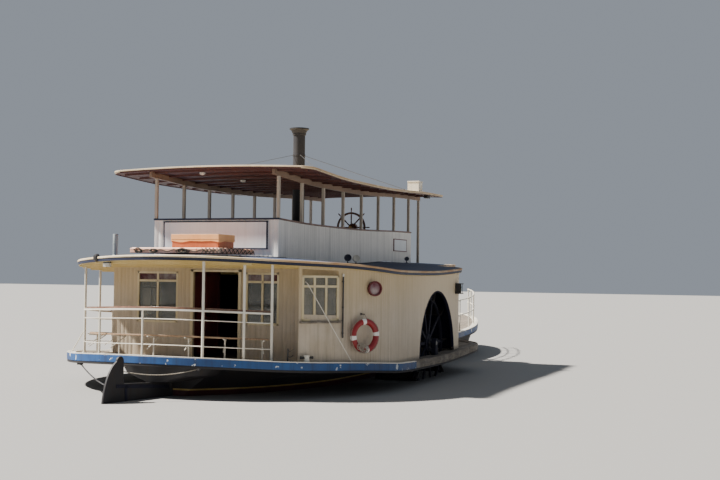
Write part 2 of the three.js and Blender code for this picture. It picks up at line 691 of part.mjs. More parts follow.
function boardingStair() {
  const [low, high] = [deckZ(stair.foot) + gap + 8, rimTop + sheer(stair.head)];
  const shape = new THREE.Shape();
  [[stair.foot, low], [stair.head, high - 160], [stair.head, high], [stair.head + 90, high],
    [stair.foot + 110, low]].forEach(([s, z], i) => (i ? shape.lineTo(s, z) : shape.moveTo(s, z)));
  const [starboard, port] = [stair.y - stair.width / 2, stair.y + stair.width / 2];
  const stringers = [[starboard, starboard + stair.stringer], [port - stair.stringer, port]]
    .map(([from, to]) => sidePlate(shape, from, to, 1));
  const treads = Array.from({ length: stair.treads }, (_, i) => {
    const share = (i + 1) / (stair.treads + 1);
    const [s, z] = [stair.foot + share * (stair.head - stair.foot), low + share * (high - low)];
    return block([s - 40, starboard + 10, z - 40], [s + 180, port - 10, z]);
  });
  return joined([...stringers, ...treads]);
}

function parapetAft() {
  const half = parapet.half + parapet.thickness / 2;
  const path = [-1, -0.5, 0, 0.5, 1].map((share) => [parapet.aft, share * half]);
  return wall(path, parapet.thickness, above(roofZ, camberGap), parapetTopZ);
}

function parapetSide() {
  const aft = parapet.aft + parapet.thickness / 2 + gap;
  const stations = panelOutline().map(([s]) => s).filter((s) => s > aft + 1 && s < parapet.fore - 1);
  const path = [aft, ...stations, parapet.fore].map((s) => [s, -parapet.half]);
  return wall(path, parapet.thickness, above(roofZ, camberGap), parapetTopZ);
}

function parapetCap() {
  const path = [...straight([parapet.aft, -parapet.half], [parapet.fore, -parapet.half]).toReversed(),
    ...straight([parapet.aft, parapet.half], [parapet.fore, parapet.half])];
  return wall(path, 90, above(parapetTopZ, gap + 1), above(parapetTopZ, gap + 1 + parapet.cap));
}

function upperFrame() {
  const beam = wall(straight([upperRoof.aft + 150, -parapet.half], [upperRoof.fore - 80, -parapet.half]),
    frame.size, eaveZ, above(upperCeilingZ, -gap));
  const onCap = above(parapetTopZ, parapet.cap + 2 * gap + 2);
  const posts = Array.from({ length: frame.count }, (_, i) => (
    post(frame.first + i * frame.pitch + (i ? 0 : 10), -parapet.half, frame.size, onCap, above(eaveZ, 20))));
  const end = post(frame.last, -parapet.half, frame.size, above(roofZ, camberGap), above(eaveZ, 20));
  return joined([beam, ...posts, end]);
}

function upperOutline() {
  const [aft, fore] = [upperRoof.aft, upperRoof.fore];
  return withKnots([[aft, 0], [aft, 2350], [aft + 80, 2520], [aft + 250, upperRoof.half], [8750, 2560],
    [fore - 250, 2380], [fore - 80, 2320], [fore, 2150], [fore, 0]]);
}

function upperTopZ(station, y) {
  return upperCeilingZ(station) + upperRoof.edge + upperRoof.camber * (1 - (y / upperRoof.half) ** 2);
}

function upperRoofPanel() {
  const panel = plate(upperOutline(), upperCeilingZ, upperTopZ, 8);
  const flue = rod([funnel.station, 0, 5000], [funnel.station, 0, 6500], funnel.radius + 20, 24);
  return cut(panel, [flue]);
}

function funnelPipe() {
  const { radius, top, capRadius } = funnel;
  const profile = [[0, 2700], [radius, 2700], [radius, top - 190], [radius + 22, top - 180],
    [radius + 22, top - 130], [capRadius, top - 40], [capRadius, top], [radius - 15, top],
    [radius - 15, top - 900], [0, top - 900]].map(([r, z]) => new THREE.Vector2(r, z));
  return new THREE.LatheGeometry(profile, 24).rotateX(Math.PI / 2).translate(funnel.station, 0, 0);
}

function helmPedestal() {
  const foot = above(roofZ, camberGap);
  const column = wall([[helm.station + 60, -90], [helm.station + 60, 90]], 120, foot, () => helm.height + 120);
  const base = wall([[helm.station + 60, -180], [helm.station + 60, 180]], 260, foot,
    () => roofZ(helm.station, 0) + 90);
  const bore = rod([helm.station - 100, 0, helm.height], [helm.station + 300, 0, helm.height], 38, 12);
  return cut(joined([column, base]), [bore]);
}

function helmWheel() {
  const plane = helm.station - 90;
  const rim = hoop(400, 460, 45, 20).rotateZ(Math.PI / 2);
  const hub = rod([-45, 0, 0], [45, 0, 0], 80, 12);
  const pin = rod([-40, 0, 0], [270, 0, 0], 30, 12);
  const spokes = Array.from({ length: 8 }, (_, i) => (
    rod([0, 0, 0], [0, 0, helm.radius], 17, 5).rotateX(degrees(45 * i))));
  return joined([rim, hub, pin, ...spokes]).translate(plane, 0, helm.height);
}

const bench = { aft: 3000, fore: 10350, inner: 1130, outer: 1500, seat: 430 };

function upperBench() {
  const [middle, width] = [-(bench.inner + bench.outer) / 2, bench.outer - bench.inner];
  const seatZ = above((s) => roofZ(s, middle), bench.seat);
  const path = straight([bench.aft, middle], [bench.fore, middle]);
  const seat = wall(path, width, seatZ, above(seatZ, 40));
  const count = 7;
  const legs = Array.from({ length: count }, (_, i) => {
    const s = bench.aft + 100 + i * (bench.fore - bench.aft - 200) / (count - 1);
    return post(s, middle, 60, above(roofZ, camberGap + 2), above(seatZ, 20));
  });
  return joined([seat, ...legs]);
}

const lifeRing = { angle: 68.4, facing: 58.4, height: 1970, radius: 310, tube: 70, standoff: 150 };

function lifeRingBody() {
  const facing = degrees(lifeRing.facing);
  const turn = (piece) => piece.rotateY(Math.PI / 2).rotateZ(facing);
  const ring = new THREE.TorusGeometry(lifeRing.radius, lifeRing.tube, 8, 24);
  const peg = rod([-20, 0, lifeRing.radius - 20], [lifeRing.standoff - 75, 0, lifeRing.radius - 20], 22, 8);
  const [s, y] = onStern(lifeRing.angle, wallHalf + wallThickness / 2 + lifeRing.standoff);
  return joined([turn(ring), peg.rotateZ(facing)]).translate(s, y, lifeRing.height);
}

// Buoyant rafts stacked on the roof. Columns: low and high corners, above the roof's crown there.
const rafts = [
  [[750, -1170, 20], [2350, 1070, 180]],
  [[1050, -970, 170], [1800, 210, 490]],
];

function floatMats() {
  const crown = roofZ(1550, 0);
  return joined(rafts.map(([low, high]) => (
    block([low[0], low[1], crown + low[2]], [high[0], high[1], crown + high[2]]))));
}

const vent = { station: 2050, y: 2300, radius: 62, top: 4190 };

function ventPipe() {
  const { station, y, radius, top } = vent;
  const foot = roofZ(station, y) + 14;
  const pipe = rod([station, y, foot], [station, y, top], radius, 16);
  const flange = rod([station, y, foot], [station, y, foot + 30], radius + 45, 16);
  return joined([pipe, flange]);
}

function bollard(angle) {
  const [s, y] = onStern(angle, 3985);
  const [ds, dy] = [Math.sin(degrees(angle)) * 150, -Math.cos(degrees(angle)) * 150];
  const barHeight = deckZ(s) + 256;
  const column = post(s, y, 90, above(onDeck, 4), above(deckZ, 330));
  const bar = rod([s - ds, y - dy, barHeight], [s + ds, y + dy, barHeight], 32, 8);
  return joined([column, bar]);
}

function bowBitts() {
  const posts = [-260, 260].map((y) => post(20300, y, 130, onDeck, above(deckZ, 480)));
  const bar = rod([20300, -430, deckZ(20300) + 330], [20300, 430, deckZ(20300) + 330], 45, 10);
  return joined([...posts, bar]);
}

function sideLight() {
  const face = -wallHalf - wallThickness / 2 - gap;
  return block([9010, face - 170, 2820], [9250, face, 3110]);
}

const roofBox = { aft: 10480, fore: 10820, y: -2150, width: 340, height: 300 };

function roofBoxBody() {
  const { aft, fore, y, width, height } = roofBox;
  return wall([[aft, y], [fore, y]], width, above(upperTopZ, camberGap), () => upperTopZ(fore, y) + height);
}

const part = new THREE.Group();
part.position.x = -midStation;

function add(name, geometry, material) {
  const mesh = new THREE.Mesh(geometry, material);
  mesh.name = name;
  part.add(mesh);
}

// Port and starboard twins. The drawn side is given first.
function addPair(name, geometry, material, drawn = 'starboard', other = 'port') {
  add(`${name}_${drawn}`, geometry, material);
  add(`${name}_${other}`, mirrored(geometry), material);
}

add('hull', hullBody(), finish('hull', 0.5));
Object.entries(deckLengths).forEach(([length, extent]) => {
  add(`main_deck_${length}`, deckLength(extent), finish('timber', 0.8));
});
add('deck_guard', deckGuard(), finish('guard', 0.5));
addPair('sponson_aft_frame', sponsonFrame(sponson.aft), finish('timber', 0.8), 'port', 'starboard');
addPair('sponson_frame', joined([sponsonFrame(sponson.fore), coveringBoard()]), finish('timber', 0.8),
  'port', 'starboard');
add('rudder', rudderBlade(), finish('hull', 0.6));
addPair('paddle_wheel', paddleWheel(), finish('float', 0.8), 'port', 'starboard');
add('paddle_shaft', paddleShaft(), finish('steel', 0.4, 0.8));
addPair('shaft_bearing', shaftBearing(), finish('steel', 0.6, 0.5), 'port', 'starboard');
addPair('wheel_case', wheelCaseWall(), finish('dark', 0.7), 'port', 'starboard');
add('quarter_wall', quarterWallStarboard(), finish('wall', 0.7));
add('quarter_window', quarterWindow(), finish('cream', 0.5));
add('paddle_box_wall_starboard', boxWallStarboard(), finish('wall', 0.7));
add('paddle_box_wall_port', boxWallPort(), finish('wall', 0.7));
add('aft_bulkhead', aftBulkhead(), finish('wall', 0.7));
add('aft_window_port', aftWindow(0), finish('cream', 0.5));
add('aft_window_starboard', aftWindow(1), finish('cream', 0.5));
add('aft_door', aftDoorLeaf(), finish('brown', 0.6));
add('port_cabin_wall', portCabinWall(), finish('wall', 0.7));
addPair('fore_cabin_wall', foreCabinWall(), finish('wall', 0.7));
add('fore_bulkhead', foreBulkhead(), finish('wall', 0.7));
add('fore_door', foreDoorLeaf(), finish('brown', 0.6));
add('boiler', boilerBody(), finish('black', 0.6, 0.4));
add('engine', engineBody(), finish('steel', 0.6, 0.6));
add('promenade_roof', promenadeRoof(), finish('roof', 0.5));
add('roof_rim', roofRim(), finish('tan', 0.6));
add('stern_rail_frame', sternRailFrame(), finish('white', 0.5));
add('stern_handrail', sternHandrail(), finish('brown', 0.6));
add('stern_bench', sternBench(), finish('seat', 0.7));
addPair('bow_rail', bowRailSide(), finish('white', 0.5));
add('boarding_stair', boardingStair(), finish('timber', 0.7));
add('parapet_aft', parapetAft(), finish('white', 0.6));
addPair('parapet_side', parapetSide(), finish('white', 0.6));
add('parapet_cap', parapetCap(), finish('roof', 0.5));
addPair('upper_frame', upperFrame(), finish('cream', 0.6));
add('upper_roof', upperRoofPanel(), finish('tan', 0.7));
add('funnel', funnelPipe(), finish('black', 0.6, 0.3));
add('helm_pedestal', helmPedestal(), finish('brown', 0.6));
add('helm_wheel', helmWheel(), finish('brown', 0.5));
addPair('upper_bench', upperBench(), finish('seat', 0.7));
add('life_ring', lifeRingBody(), finish('ring', 0.5));
add('float_mats', floatMats(), finish('orange', 0.8));
add('vent_pipe', ventPipe(), finish('grey', 0.5, 0.4));
add('bollard', bollard(47), finish('white', 0.5));
add('bow_bitts', bowBitts(), finish('black', 0.5));
addPair('side_light', sideLight(), finish('black', 0.5));
add('roof_box', roofBoxBody(), finish('white', 0.6));

export default part;
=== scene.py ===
import json
import random
from math import atan2, ceil, cos, degrees, pi, radians, sin, sqrt
import bpy
import bmesh
from mathutils import Matrix, Vector


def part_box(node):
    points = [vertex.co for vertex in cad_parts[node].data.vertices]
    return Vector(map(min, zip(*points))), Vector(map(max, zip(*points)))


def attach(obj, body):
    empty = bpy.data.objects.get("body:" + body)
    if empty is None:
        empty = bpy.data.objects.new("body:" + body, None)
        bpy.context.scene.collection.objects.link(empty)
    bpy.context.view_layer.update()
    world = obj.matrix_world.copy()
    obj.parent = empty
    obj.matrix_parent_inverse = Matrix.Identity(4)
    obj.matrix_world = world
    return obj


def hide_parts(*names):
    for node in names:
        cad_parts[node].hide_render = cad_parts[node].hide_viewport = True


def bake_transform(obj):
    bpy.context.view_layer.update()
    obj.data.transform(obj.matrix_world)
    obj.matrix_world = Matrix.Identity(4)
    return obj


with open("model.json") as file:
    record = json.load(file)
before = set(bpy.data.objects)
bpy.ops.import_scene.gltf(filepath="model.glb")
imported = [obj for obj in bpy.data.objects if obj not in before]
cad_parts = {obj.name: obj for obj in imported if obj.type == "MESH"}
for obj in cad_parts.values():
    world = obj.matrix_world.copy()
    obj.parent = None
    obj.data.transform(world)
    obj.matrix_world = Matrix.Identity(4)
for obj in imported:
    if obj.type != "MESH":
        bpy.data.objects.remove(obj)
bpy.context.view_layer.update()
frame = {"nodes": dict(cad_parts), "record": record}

print("frame loaded with", len(frame["nodes"]), "nodes")

# A side-wheel paddle steamer, in metres. Stations run forward from the aft edge of the deck,
# y is to port and z is up from the flat bottom. Angles round the stern are in degrees from the
# aft apex, positive to starboard.
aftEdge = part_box("deck_guard")[0].x
vessel = {"sternRadius": 4.15, "roofRadius": 3.95, "wallRadius": 3.855, "railRadius": 3.75, "deck": 1.25,
          "deckThickness": .07, "ceiling": 3.34, "camber": .22, "bow": 22.2, "water": .65}
sternRadius, roofRadius, wallRadius, railRadius, deck, deckThickness, ceiling, camber, bow, water = vessel.values()
sheerKnots = [(-1.5, .415), (0, .28), (1, .19), (2.5, .12), (4.15, .02), (5.5, 0), (7.5, .01), (9, .07),
              (10.5, .15), (13, .22), (16.5, .34), (19, .46), (22.2, .62)]
roofPlan = {"straightEnd": 9.31, "narrow": 10.6, "ovalHalf": 2.4, "foreHalf": 2.6, "fore": 13.8, "corner": .6,
            "rimTop": 3.42, "rimBottom": 3.3}
sides = ((-1, "starboard"), (1, "port"))


def spaced(start, end, count):
    return [start + (end - start) * i / count for i in range(count + 1)]


def clock(count):
    return [2 * pi * k / count for k in range(count)]


def up(height):
    return Vector((0, 0, height))


def curveThrough(knots, x):
    # a smooth curve through the knots, with each knot's slope taken from its neighbours
    last = len(knots) - 1
    i = max(0, min(last - 1, sum(1 for k in knots if k[0] < x) - 1))
    slope = lambda j: ((knots[min(last, j + 1)][1] - knots[max(0, j - 1)][1])
                       / (knots[min(last, j + 1)][0] - knots[max(0, j - 1)][0]))
    (x0, y0), (x1, y1) = knots[i], knots[i + 1]
    span = x1 - x0
    t = (x - x0) / span
    return ((2 * t**3 - 3 * t**2 + 1) * y0 + (t**3 - 2 * t**2 + t) * span * slope(i)
            + (3 * t**2 - 2 * t**3) * y1 + (t**3 - t**2) * span * slope(i + 1))


def sheer(station):
    return curveThrough(sheerKnots, station)


def deckZ(station):
    return deck + sheer(station)


def roofHalf(station):
    if station < sternRadius:
        return sqrt(max(0, roofRadius**2 - (sternRadius - station)**2))
    if station < roofPlan["straightEnd"]:
        return roofRadius
    share = (station - roofPlan["straightEnd"]) / (roofPlan["narrow"] - roofPlan["straightEnd"])
    oval = roofPlan["ovalHalf"] + (roofRadius - roofPlan["ovalHalf"]) * sqrt(max(0, 1 - share**2))
    return max(roofPlan["foreHalf"], oval)


def roofZ(station, y):
    return roofPlan["rimTop"] + sheer(station) + camber * (max(0, roofHalf(station)**2 - y**2) / roofRadius**2)


def onStern(angle, radius, z=0.0):
    return Vector((sternRadius - radius * cos(radians(angle)), -radius * sin(radians(angle)), z))


def sternArc(radius, start, end, steps):
    return [onStern(angle, radius) for angle in spaced(start, end, steps)]


def straight(start, end, step=.5):
    start, end = Vector((*start, 0)), Vector((*end, 0))
    count = max(1, ceil((end - start).length / step))
    return [start.lerp(end, i / count) for i in range(count + 1)]


# Building pieces

def block(bm, low, high):
    low, high = Vector(low), Vector(high)
    matrix = Matrix.Translation((high + low) / 2) @ Matrix.Diagonal((*(high - low), 1))
    return bmesh.ops.create_cube(bm, size=1, matrix=matrix)["verts"]


def rod(bm, start, end, radius, sides=12, tip=None):
    start, end = Vector(start), Vector(end)
    aim = Matrix.Translation((start + end) / 2) @ (end - start).to_track_quat("Z", "Y").to_matrix().to_4x4()
    return bmesh.ops.create_cone(bm, cap_ends=True, segments=sides, radius1=radius,
                                 radius2=radius if tip is None else tip, depth=(end - start).length,
                                 matrix=aim)["verts"]


def post(bm, foot, height, radius, sides=12, tip=None):
    return rod(bm, foot, foot + up(height), radius, sides, tip)


def bar(bm, start, end, width, depth):
    # a squared bar between two points, its depth as near upright as it can be
    along = end - start
    side = along.normalized().cross(up(1))
    side = side.normalized() if side.length > .01 else Vector((0, 1, 0))
    turn = Matrix((side, along.normalized(), side.cross(along.normalized()))).transposed().to_4x4()
    matrix = Matrix.Translation((start + end) / 2) @ turn @ Matrix.Diagonal((width, along.length, depth, 1))
    bmesh.ops.create_cube(bm, size=1, matrix=matrix)


def plate(bm, corners, across):
    face = bm.faces.new([bm.verts.new(corner) for corner in corners])
    grown = bmesh.ops.extrude_face_region(bm, geom=[face])["geom"]
    bmesh.ops.translate(bm, verts=[g for g in grown if isinstance(g, bmesh.types.BMVert)], vec=across)


def lathe(bm, profile, centre=(0, 0, 0), axis=(0, 0, 1), sides=32):
    # a profile of (radius, distance along the axis) pairs, spun round the axis
    place = Matrix.Translation(centre) @ Vector(axis).to_track_quat("Z", "X").to_matrix().to_4x4()
    verts = [bm.verts.new(place @ Vector((r, 0, h))) for r, h in profile]
    edges = [bm.edges.new(pair) for pair in zip(verts, verts[1:])]
    bmesh.ops.spin(bm, geom=verts + edges, cent=Vector(centre), axis=Vector(axis), steps=sides,
                   angle=2 * pi, use_merge=True)


def both(half):
    # half a profile, and its mirror image after it
    return half + [(r, -h) for r, h in reversed(half)]


def place(bm, verts, at, turn):
    bmesh.ops.transform(bm, matrix=Matrix.Translation((at[0], at[1], 0)) @ Matrix.Rotation(turn, 4, "Z"), verts=verts)


def pathFrames(path, closed=False):
    # one matrix for each point of a plan path: x is the left of travel, mitred, and z is up
    frames, last = [], len(path) - 1
    for i, point in enumerate(path):
        before = path[i - 1] if i else (path[last - 1] if closed else path[0])
        after = path[i + 1] if i < last else (path[1] if closed else path[last])
        ways = [(b - a).xy.normalized() for a, b in ((before, point), (point, after)) if (b - a).xy.length > 1e-7]
        normals = [Vector((-way.y, way.x)) for way in ways]
        total = normals[0] + normals[-1]
        side = total * (2 / total.length_squared)
        matrix = Matrix.Identity(4)
        matrix.col[0], matrix.col[1], matrix.col[3] = (*side, 0, 0), (-side.y, side.x, 0, 0), (*point, 1)
        frames.append(matrix)
    return frames


def sweep(bm, path, section, closed=False):
    # a section of (across, height) pairs drawn along a plan path; it may change from point to point
    shape = section if callable(section) else (lambda i: section)
    along = bm.verts.layers.float.get("along") or bm.verts.layers.float.new("along")
    frames = pathFrames(path, closed)
    ring = first = [bm.verts.new(frames[0] @ Vector((a, 0, h))) for a, h in shape(0)]
    edges = startEdges = [bm.edges.new(pair) for pair in zip(ring, ring[1:] + ring[:1])]
    distance = 0.0
    for i in range(1, len(path)):
        grown = bmesh.ops.extrude_edge_only(bm, edges=edges)["geom"]
        twins = {v.co.to_tuple(6): v for v in grown if isinstance(v, bmesh.types.BMVert)}
        ring = [twins[v.co.to_tuple(6)] for v in ring]
        edges = [e for e in grown if isinstance(e, bmesh.types.BMEdge)]
        distance += (path[i] - path[i - 1]).length
        for vert, (a, h) in zip(ring, shape(i)):
            vert.co, vert[along] = frames[i] @ Vector((a, 0, h)), distance
    if closed:
        bmesh.ops.remove_doubles(bm, verts=first + ring, dist=1e-5)
    else:
        bmesh.ops.contextual_create(bm, geom=startEdges)
        bmesh.ops.contextual_create(bm, geom=edges)


def oblong(left, right, foot, head):
    return [(left, foot), (right, foot), (right, head), (left, head)]


def roundSection(radius, height, sides=10):
    return [(radius * cos(turn), height + radius * sin(turn)) for turn in clock(sides)]


def lift(bm):
    # raises what was drawn on a level deck to the sheer
    for vert in bm.verts:
        vert.co.z += sheer(vert.co.x)


def tube(bm, points, radius, smooth=True, sides=8, closed=False):
    # a round bar through points, made by a curve with a round bevel
    data = bpy.data.curves.new("tube", "CURVE")
    data.dimensions, data.bevel_depth, data.bevel_resolution = "3D", radius, max(0, sides // 2 - 2)
    data.resolution_u, data.use_fill_caps = 6, True
    spline = data.splines.new("BEZIER" if smooth else "POLY")
    knots = spline.bezier_points if smooth else spline.points
    knots.add(len(points) - 1)
    for knot, point in zip(knots, points):
        if smooth:
            knot.co, knot.handle_left_type, knot.handle_right_type = point, "AUTO", "AUTO"
        else:
            knot.co = (*point, 1)
    spline.use_cyclic_u = closed
    holder = bpy.data.objects.new("tube", data)
    bpy.context.scene.collection.objects.link(holder)
    bpy.context.view_layer.update()
    mesh = bpy.data.meshes.new_from_object(holder.evaluated_get(bpy.context.evaluated_depsgraph_get()))
    bm.from_mesh(mesh)
    bpy.data.objects.remove(holder)
    bpy.data.curves.remove(data)
    bpy.data.meshes.remove(mesh)


def addObject(name, bm, materials):
    mesh = bpy.data.meshes.new(name)
    bm.to_mesh(mesh)
    bm.free()
    for material in materials:
        mesh.materials.append(material)
    piece = bpy.data.objects.new(name, mesh)
    bpy.context.scene.collection.objects.link(piece)
    return piece


def finish(name, bm, looks, replaced="", body="root", bevel=0.0, crease=35, merge=True):
    # moves a piece from stations to the frame, shades it and fastens it to its body
    looks = looks.split()
    if merge:
        bmesh.ops.remove_doubles(bm, verts=bm.verts, dist=1e-5)
    bmesh.ops.recalc_face_normals(bm, faces=bm.faces)
    bmesh.ops.translate(bm, verts=bm.verts, vec=(aftEdge, 0, 0))
    piece = addObject(name, bm, [materials[look] for look in looks])
    piece.data.shade_smooth()
    piece.data.set_sharp_from_angle(angle=radians(crease))
    if bevel:
        softening = piece.modifiers.new("edges", "BEVEL")
        softening.width, softening.segments, softening.limit_method = bevel, 2, "ANGLE"
        softening.angle_limit, softening.harden_normals = radians(crease), True
    if body:
        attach(piece, body)
    if replaced:
        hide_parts(replaced)
    return piece


def faceMaterial(bm, index, test):
    for face in bm.faces:
        if test(face.calc_center_median(), face):
            face.material_index = index


# Materials

def addNode(tree, kind, inputs, **settings):
    # a node with its settings and its inputs, each a value or another node's socket
    node = tree.nodes.new("ShaderNode" + kind)
    for key, value in settings.items():
        setattr(node, key, value)
    for socket, value in inputs.items():
        if isinstance(value, bpy.types.NodeSocket):
            tree.links.new(value, node.inputs[socket])
        else:
            node.inputs[socket].default_value = value
    return node


def newGroup(name, outputs, **inputs):
    group = bpy.data.node_groups.new(name, "ShaderNodeTree")
    for label, value in inputs.items():
        kind = "Float" if isinstance(value, float) else "Vector" if len(value) == 3 else "Color"
        group.interface.new_socket(label, in_out="INPUT", socket_type="NodeSocket" + kind).default_value = value
    for label in outputs:
        kind = "Color" if label == "Color" else "Float"
        group.interface.new_socket(label, in_out="OUTPUT", socket_type="NodeSocket" + kind)
    return group, group.nodes.new("NodeGroupInput").outputs, group.nodes.new("NodeGroupOutput").inputs


def axis(tree, name):
    # one of the object's own coordinates
    place = addNode(tree, "TexCoord", {}).outputs["Object"]
    return addNode(tree, "SeparateXYZ", {0: place}).outputs[name]


def noise(tree, stretch, scale, detail=5.0, roughness=.6, distortion=0.0):
    place = addNode(tree, "TexCoord", {}).outputs["Object"]
    mapped = addNode(tree, "Mapping", {"Vector": place, "Scale": stretch})
    return addNode(tree, "TexNoise", {"Vector": mapped.outputs[0], "Scale": scale, "Detail": detail,
                                      "Roughness": roughness, "Distortion": distortion}).outputs["Fac"]


def spread(tree, value, low, high, start=0.0, end=1.0, way="SMOOTHSTEP"):
    return addNode(tree, "MapRange", {"Value": value, "From Min": low, "From Max": high, "To Min": start,
                                      "To Max": end}, interpolation_type=way).outputs[0]


def mixed(tree, factor, first, second):
    return addNode(tree, "Mix", {0: factor, 6: first, 7: second}, data_type="RGBA").outputs[2]


def maths(tree, operation, first, second=0.0):
    return addNode(tree, "Math", {0: first, 1: second}, operation=operation).outputs[0]


def times(tree, first, second):
    return maths(tree, "MULTIPLY", first, second)


def rgb(*values):
    return (*values, 1.0)


even = (1, 1, 1)


def makePaintGroup():
    # old paint: faded patches, grime that runs down, and chips that show what is under it
    tree, given, out = newGroup("weatheredPaint", ("Color", "Roughness", "Height"), Paint=rgb(1, 1, 1),
                                Faded=rgb(1, 1, 1), Grime=rgb(.2, .16, .1), Bare=rgb(.3, .25, .2), Streaks=.4,
                                Chips=.1, ChipSize=9.0)
    faded = spread(tree, noise(tree, even, 1.3, 6), .38, .66)
    colour = mixed(tree, faded, given["Paint"], given["Faded"])
    runs = times(tree, spread(tree, noise(tree, (9, 9, .45), 1.0, 6, .65), .46, .74), given["Streaks"])
    colour = mixed(tree, runs, colour, given["Grime"])
    blotches = spread(tree, noise(tree, even, 5.5, 8, .7), .5, .8, 0, .35)
    colour = mixed(tree, times(tree, blotches, given["Streaks"]), colour, given["Grime"])
    level = maths(tree, "SUBTRACT", 1.0, times(tree, given["Chips"], .5))
    flakes = noise(tree, even, given["ChipSize"], 9, .62)
    chips = spread(tree, flakes, level, maths(tree, "ADD", level, .02))
    rough = maths(tree, "ADD", times(tree, faded, .12), times(tree, runs, .2))
    fine = times(tree, noise(tree, even, 60, 3), .3)
    tree.links.new(mixed(tree, chips, colour, given["Bare"]), out["Color"])
    tree.links.new(maths(tree, "ADD", rough, times(tree, chips, .25)), out["Roughness"])
    tree.links.new(maths(tree, "SUBTRACT", fine, chips), out["Height"])
    return tree


def makeGrainGroup():
    # timber: long grain along one axis, darker in the hollows
    tree, given, out = newGroup("timberGrain", ("Color", "Roughness", "Height"), Light=rgb(.5, .4, .3),
                                Dark=rgb(.2, .15, .1), Stretch=(1, 14, 14), Wear=.3, Worn=rgb(.6, .55, .48))
    grain = spread(tree, noise(tree, given["Stretch"], 2.2, 8, .7, .5), .34, .68)
    worn = times(tree, spread(tree, noise(tree, even, 3.1, 7), .45, .7), given["Wear"])
    colour = mixed(tree, worn, mixed(tree, grain, given["Dark"], given["Light"]), given["Worn"])
    for socket, label in ((colour, "Color"), (times(tree, grain, .15), "Roughness"), (grain, "Height")):
        tree.links.new(socket, out[label])
    return tree


def makeBoardGroup():
    # boards side by side: a shade for each, and the dark seams between them
    tree, given, out = newGroup("boards", ("Shade", "Seams"), Across=0.0, Width=.1, Seam=.06)
    count = maths(tree, "DIVIDE", given["Across"], given["Width"])
    number = maths(tree, "FLOOR", count)
    edge = maths(tree, "ABSOLUTE", maths(tree, "SUBTRACT", maths(tree, "FRACT", count), .5))
    level = maths(tree, "SUBTRACT", .5, given["Seam"])
    shade = addNode(tree, "TexWhiteNoise", {"W": number}, noise_dimensions="1D").outputs["Value"]
    tree.links.new(shade, out["Shade"])
    tree.links.new(spread(tree, edge, level, .5, way="LINEAR"), out["Seams"])
    return tree


paintGroup, grainGroup, boardGroup = makePaintGroup(), makeGrainGroup(), makeBoardGroup()


def startMaterial(name, **values):
    material = bpy.data.materials.new(name)
    material.use_nodes = True
    shader = material.node_tree.nodes["Principled BSDF"]
    for label, value in values.items():
        shader.inputs[label.replace("_", " ")].default_value = value
    return material, material.node_tree, shader


def joinUp(tree, shader, colour, group, roughness, bump):
    tree.links.new(colour, shader.inputs["Base Color"])
    tree.links.new(maths(tree, "ADD", group["Roughness"], roughness), shader.inputs["Roughness"])
    bumped = addNode(tree, "Bump", {"Height": group["Height"], "Strength": bump, "Distance": .004})
    tree.links.new(bumped.outputs[0], shader.inputs["Normal"])


def coated(coat):
    return {"Coat_Weight": coat, "Coat_Roughness": .15} if coat else {}


def paint(name, colour, faded, grime, bare, streaks, chips, roughness=.42, chipSize=9.0, metallic=0.0, boards=0.0,
          coat=0.0, tint=None):
    # weathered paint; with boards, each board of that width has its own shade
    material, tree, shader = startMaterial(name, Roughness=roughness, Metallic=metallic, **coated(coat))
    group = addNode(tree, "Group", {}, node_tree=paintGroup)
    for label, value in (("Paint", rgb(*colour)), ("Faded", rgb(*faded)), ("Grime", rgb(*grime)),
                         ("Bare", rgb(*bare)), ("Streaks", streaks), ("Chips", chips), ("ChipSize", chipSize)):
        group.inputs[label].default_value = value
    result = group.outputs["Color"]
    if boards:
        along = addNode(tree, "Attribute", {}, attribute_name="along").outputs["Fac"]
        split = addNode(tree, "Group", {}, node_tree=boardGroup)
        tree.links.new(along, split.inputs["Across"])
        split.inputs["Width"].default_value, split.inputs["Seam"].default_value = boards, .05
        for label, share in (("Shade", .12), ("Seams", .3)):
            result = mixed(tree, times(tree, split.outputs[label], share), result, rgb(*grime))
    joinUp(tree, shader, tint(tree, result) if tint else result, group.outputs, roughness, .2)
    return material


def timber(name, light, dark, wear, worn=(.55, .5, .43), roughness=.6, stretch=(1, 14, 14), width=0.0, coat=0.0):
    # with a width, planks of that width lie side by side
    material, tree, shader = startMaterial(name, Roughness=roughness, **coated(coat))
    group = addNode(tree, "Group", {}, node_tree=grainGroup)
    for label, value in (("Light", rgb(*light)), ("Dark", rgb(*dark)), ("Stretch", stretch), ("Wear", wear),
                         ("Worn", rgb(*worn))):
        group.inputs[label].default_value = value
    result = group.outputs["Color"]
    if width:
        split = addNode(tree, "Group", {}, node_tree=boardGroup)
        tree.links.new(axis(tree, "Y"), split.inputs["Across"])
        split.inputs["Width"].default_value, split.inputs["Seam"].default_value = width, .04
        result = mixed(tree, times(tree, split.outputs["Shade"], .4), result, rgb(*dark))
        result = mixed(tree, split.outputs["Seams"], result, rgb(*(c * .3 for c in dark)))
    joinUp(tree, shader, result, group.outputs, roughness, .35)
    return material


def glass(name, colour, transmission, roughness=.06):
    material, tree, shader = startMaterial(name, Transmission_Weight=transmission, IOR=1.45)
    # pale patches mixed over the glass colour
    palePatches = mixed(tree, spread(tree, noise(tree, even, 2.5, 4), .35, .7, 0, .5), rgb(*colour), rgb(.6, .6, .58))
    smears = spread(tree, noise(tree, (2, 2, .6), 3.0, 5), .4, .8, roughness, roughness + .12)
    tree.links.new(palePatches, shader.inputs["Base Color"])
    tree.links.new(smears, shader.inputs["Roughness"])
    return material


def edgeTint(tree, colour):
    # the roof edges turn orange-brown in noisy patches along the starboard side
    starboardOrange = times(tree, spread(tree, axis(tree, "Y"), -3.2, -1.4, .9, 0),
                  spread(tree, noise(tree, even, 1.7, 6), .3, .6, .45, 1))
    return mixed(tree, starboardOrange, colour, rgb(.36, .19, .08))


